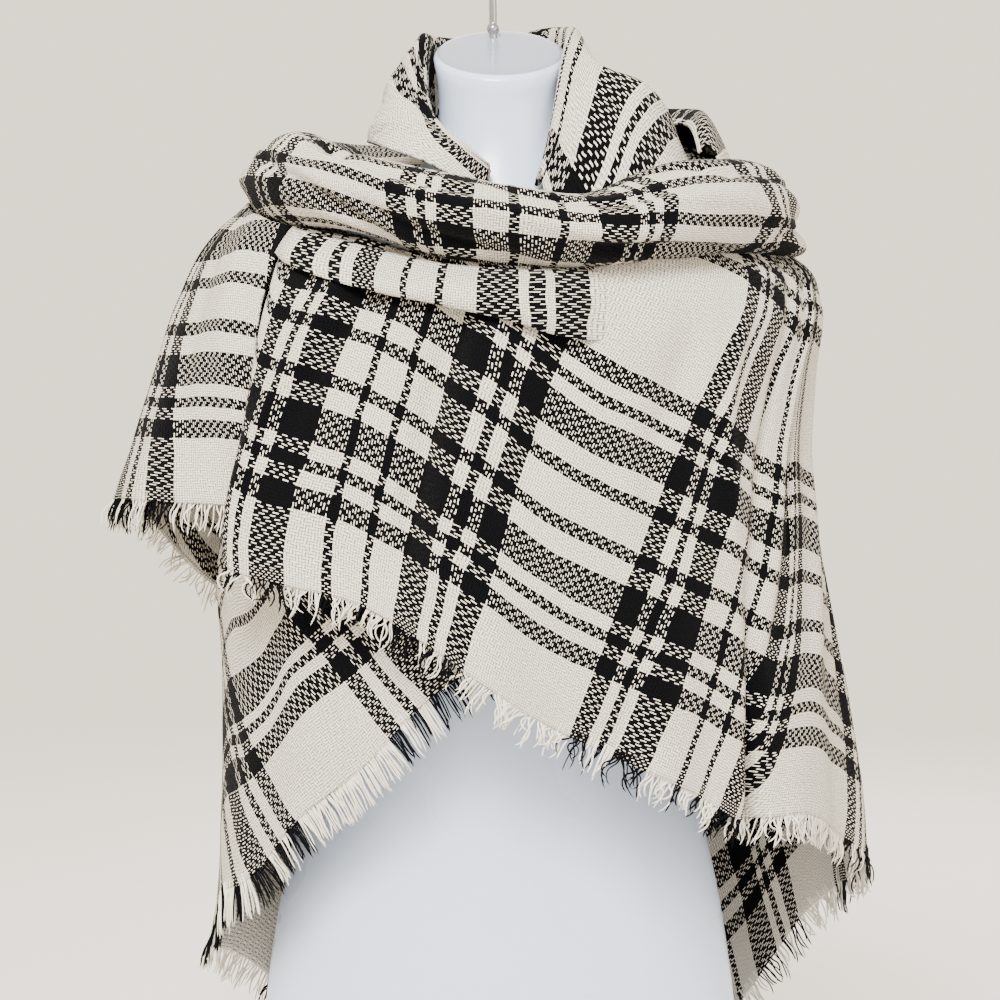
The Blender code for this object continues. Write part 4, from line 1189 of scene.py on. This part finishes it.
def thread_paths(fray, point, colour, seed):
    """The centre line, an outward way and the colour of each loose thread."""
    chance = random.Random(seed)
    threads = []
    count = round((fray.last - fray.first) / fray.pitch)
    group, swing, pull = 0, 0.0, 0.0
    for k in range(count):
        if group <= 0:
            group = chance.randint(*CLUSTER)
            swing, pull = chance.gauss(0.0, fray.swing), chance.gauss(0.0, fray.swing / 3)
        group -= 1
        cloth = fray.first + (k + 0.5 + chance.uniform(-SCATTER, SCATTER)) * fray.pitch
        hem, above, beside = point(cloth, 0.0), point(cloth, STEP_UP), point(cloth + STEP_ON, 0.0)
        out = (beside - hem).cross(above - hem).normalized()
        off = (beside - hem).cross(out).normalized()
        side = out.cross(off)
        way = off + side * (swing + chance.gauss(0.0, fray.swing / 2))
        way += out * (pull + chance.gauss(0.0, SPLAY))
        bend = side * chance.gauss(0.0, fray.curl) + out * chance.gauss(0.0, fray.curl / 2)
        length = chance.uniform(fray.shortest, fray.longest)
        here = hem - out * chance.uniform(*ROOT_DEPTH) - off * ROOT
        path = [here, here + off * ROOT]
        way.normalize()
        for step in range(THREAD_STEPS - 1):
            if step == CURL_STEP:
                bend = bend * CURL_BACK
            way = (way + bend + Vector((0, 0, -fray.hang))).normalized()
            path.append(path[-1] + way * length / (THREAD_STEPS - 1))
        threads.append((path, out, colour(cloth), chance.uniform(*THREAD_RADII)))
    return threads


def fringe_object(name, threads, shader, node):
    """All the threads of a cut edge as three-sided tubes, cut from one long grid."""
    rings, columns = THREAD_STEPS + 1, THREAD_SIDES + 1
    mesh = bmesh.new()
    bmesh.ops.create_grid(mesh, x_segments=THREAD_SIDES, y_segments=len(threads) * rings - 1, size=0.5)
    ring_of = mesh.verts.layers.int.new("ring")
    dark = mesh.verts.layers.float.new("dark")
    for index, vert in enumerate(mesh.verts):
        row, column = index // columns, index % columns
        path, out, shade, thick = threads[row // rings]
        ring = row % rings
        ahead = path[min(ring + 1, rings - 1)] - path[max(ring - 1, 0)]
        across = ahead.cross(out).normalized()
        depth = ahead.cross(across).normalized()
        radius = thick * (1.0 - THREAD_TAPER * ring / rings if ring < rings - 1 else THREAD_TIP)
        turn = 2 * math.pi * column / THREAD_SIDES
        vert.co = path[ring] + (across * math.cos(turn) + depth * math.sin(turn)) * radius
        vert[ring_of] = ring
        vert[dark] = shade
    bridges = [face for face in mesh.faces if {0, rings - 1} == {v[ring_of] for v in face.verts}]
    bmesh.ops.delete(mesh, geom=bridges, context="FACES")
    obj = add_object(name, mesh, shader)
    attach(obj, "root")
    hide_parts(node)
    return obj


def front_hem_black(cloth):
    return black_share(cloth + slipped(FRONT_SLIP, cloth, 0.0)[0], WARP_BLACK, WARP_REPEAT)


def arm_hem_black(cloth):
    return black_share(cloth + slipped(ARM_SLIP, cloth, 0.0)[0], WARP_BLACK, WARP_REPEAT)


def back_hem_black(cloth):
    """Along the first cut edge the warp hangs out, and past the point the weft does."""
    warp, weft = back_flat(cloth / BACK[-1].cloth, 0.0)
    if cloth < TIP_CLOTH:
        return black_share(warp, WARP_BLACK, WARP_REPEAT)
    return black_share(weft, WEFT_BLACK, WEFT_REPEAT)


yarn = yarn_material()
front_threads = thread_paths(Fray(-0.248, 0.512, 0.0017, 0.012, 0.025, 0.05, 0.38, 0.26),
                             lambda c, r: warp_point(FRONT, c, r), front_hem_black, 3)
front_fringe = fringe_object("front_threads", front_threads, yarn, "front_fringe")
arm_threads = thread_paths(Fray(-0.699, -0.240, 0.0019, 0.013, 0.025, 0.07, 0.30, 0.20),
                           lambda c, r: warp_point(ARM, c, r), arm_hem_black, 5)
arm_fringe = fringe_object("arm_threads", arm_threads, yarn, "arm_fringe")
back_threads = thread_paths(Fray(0.004, 0.778, 0.0020, 0.014, 0.026, 0.05, 0.26, 0.12),
                            lambda c, r: warp_point(BACK, c, r, True), back_hem_black, 7)
back_fringe = fringe_object("back_threads", back_threads, yarn, "back_fringe")
inner_threads = thread_paths(Fray(0.778, 1.160, 0.0013, 0.020, 0.028, 0.05, 0.06, 0.04),
                             lambda c, r: warp_point(BACK, c, r, True), back_hem_black, 9)
inner_fringe = fringe_object("inner_threads", inner_threads, yarn, "inner_fringe")
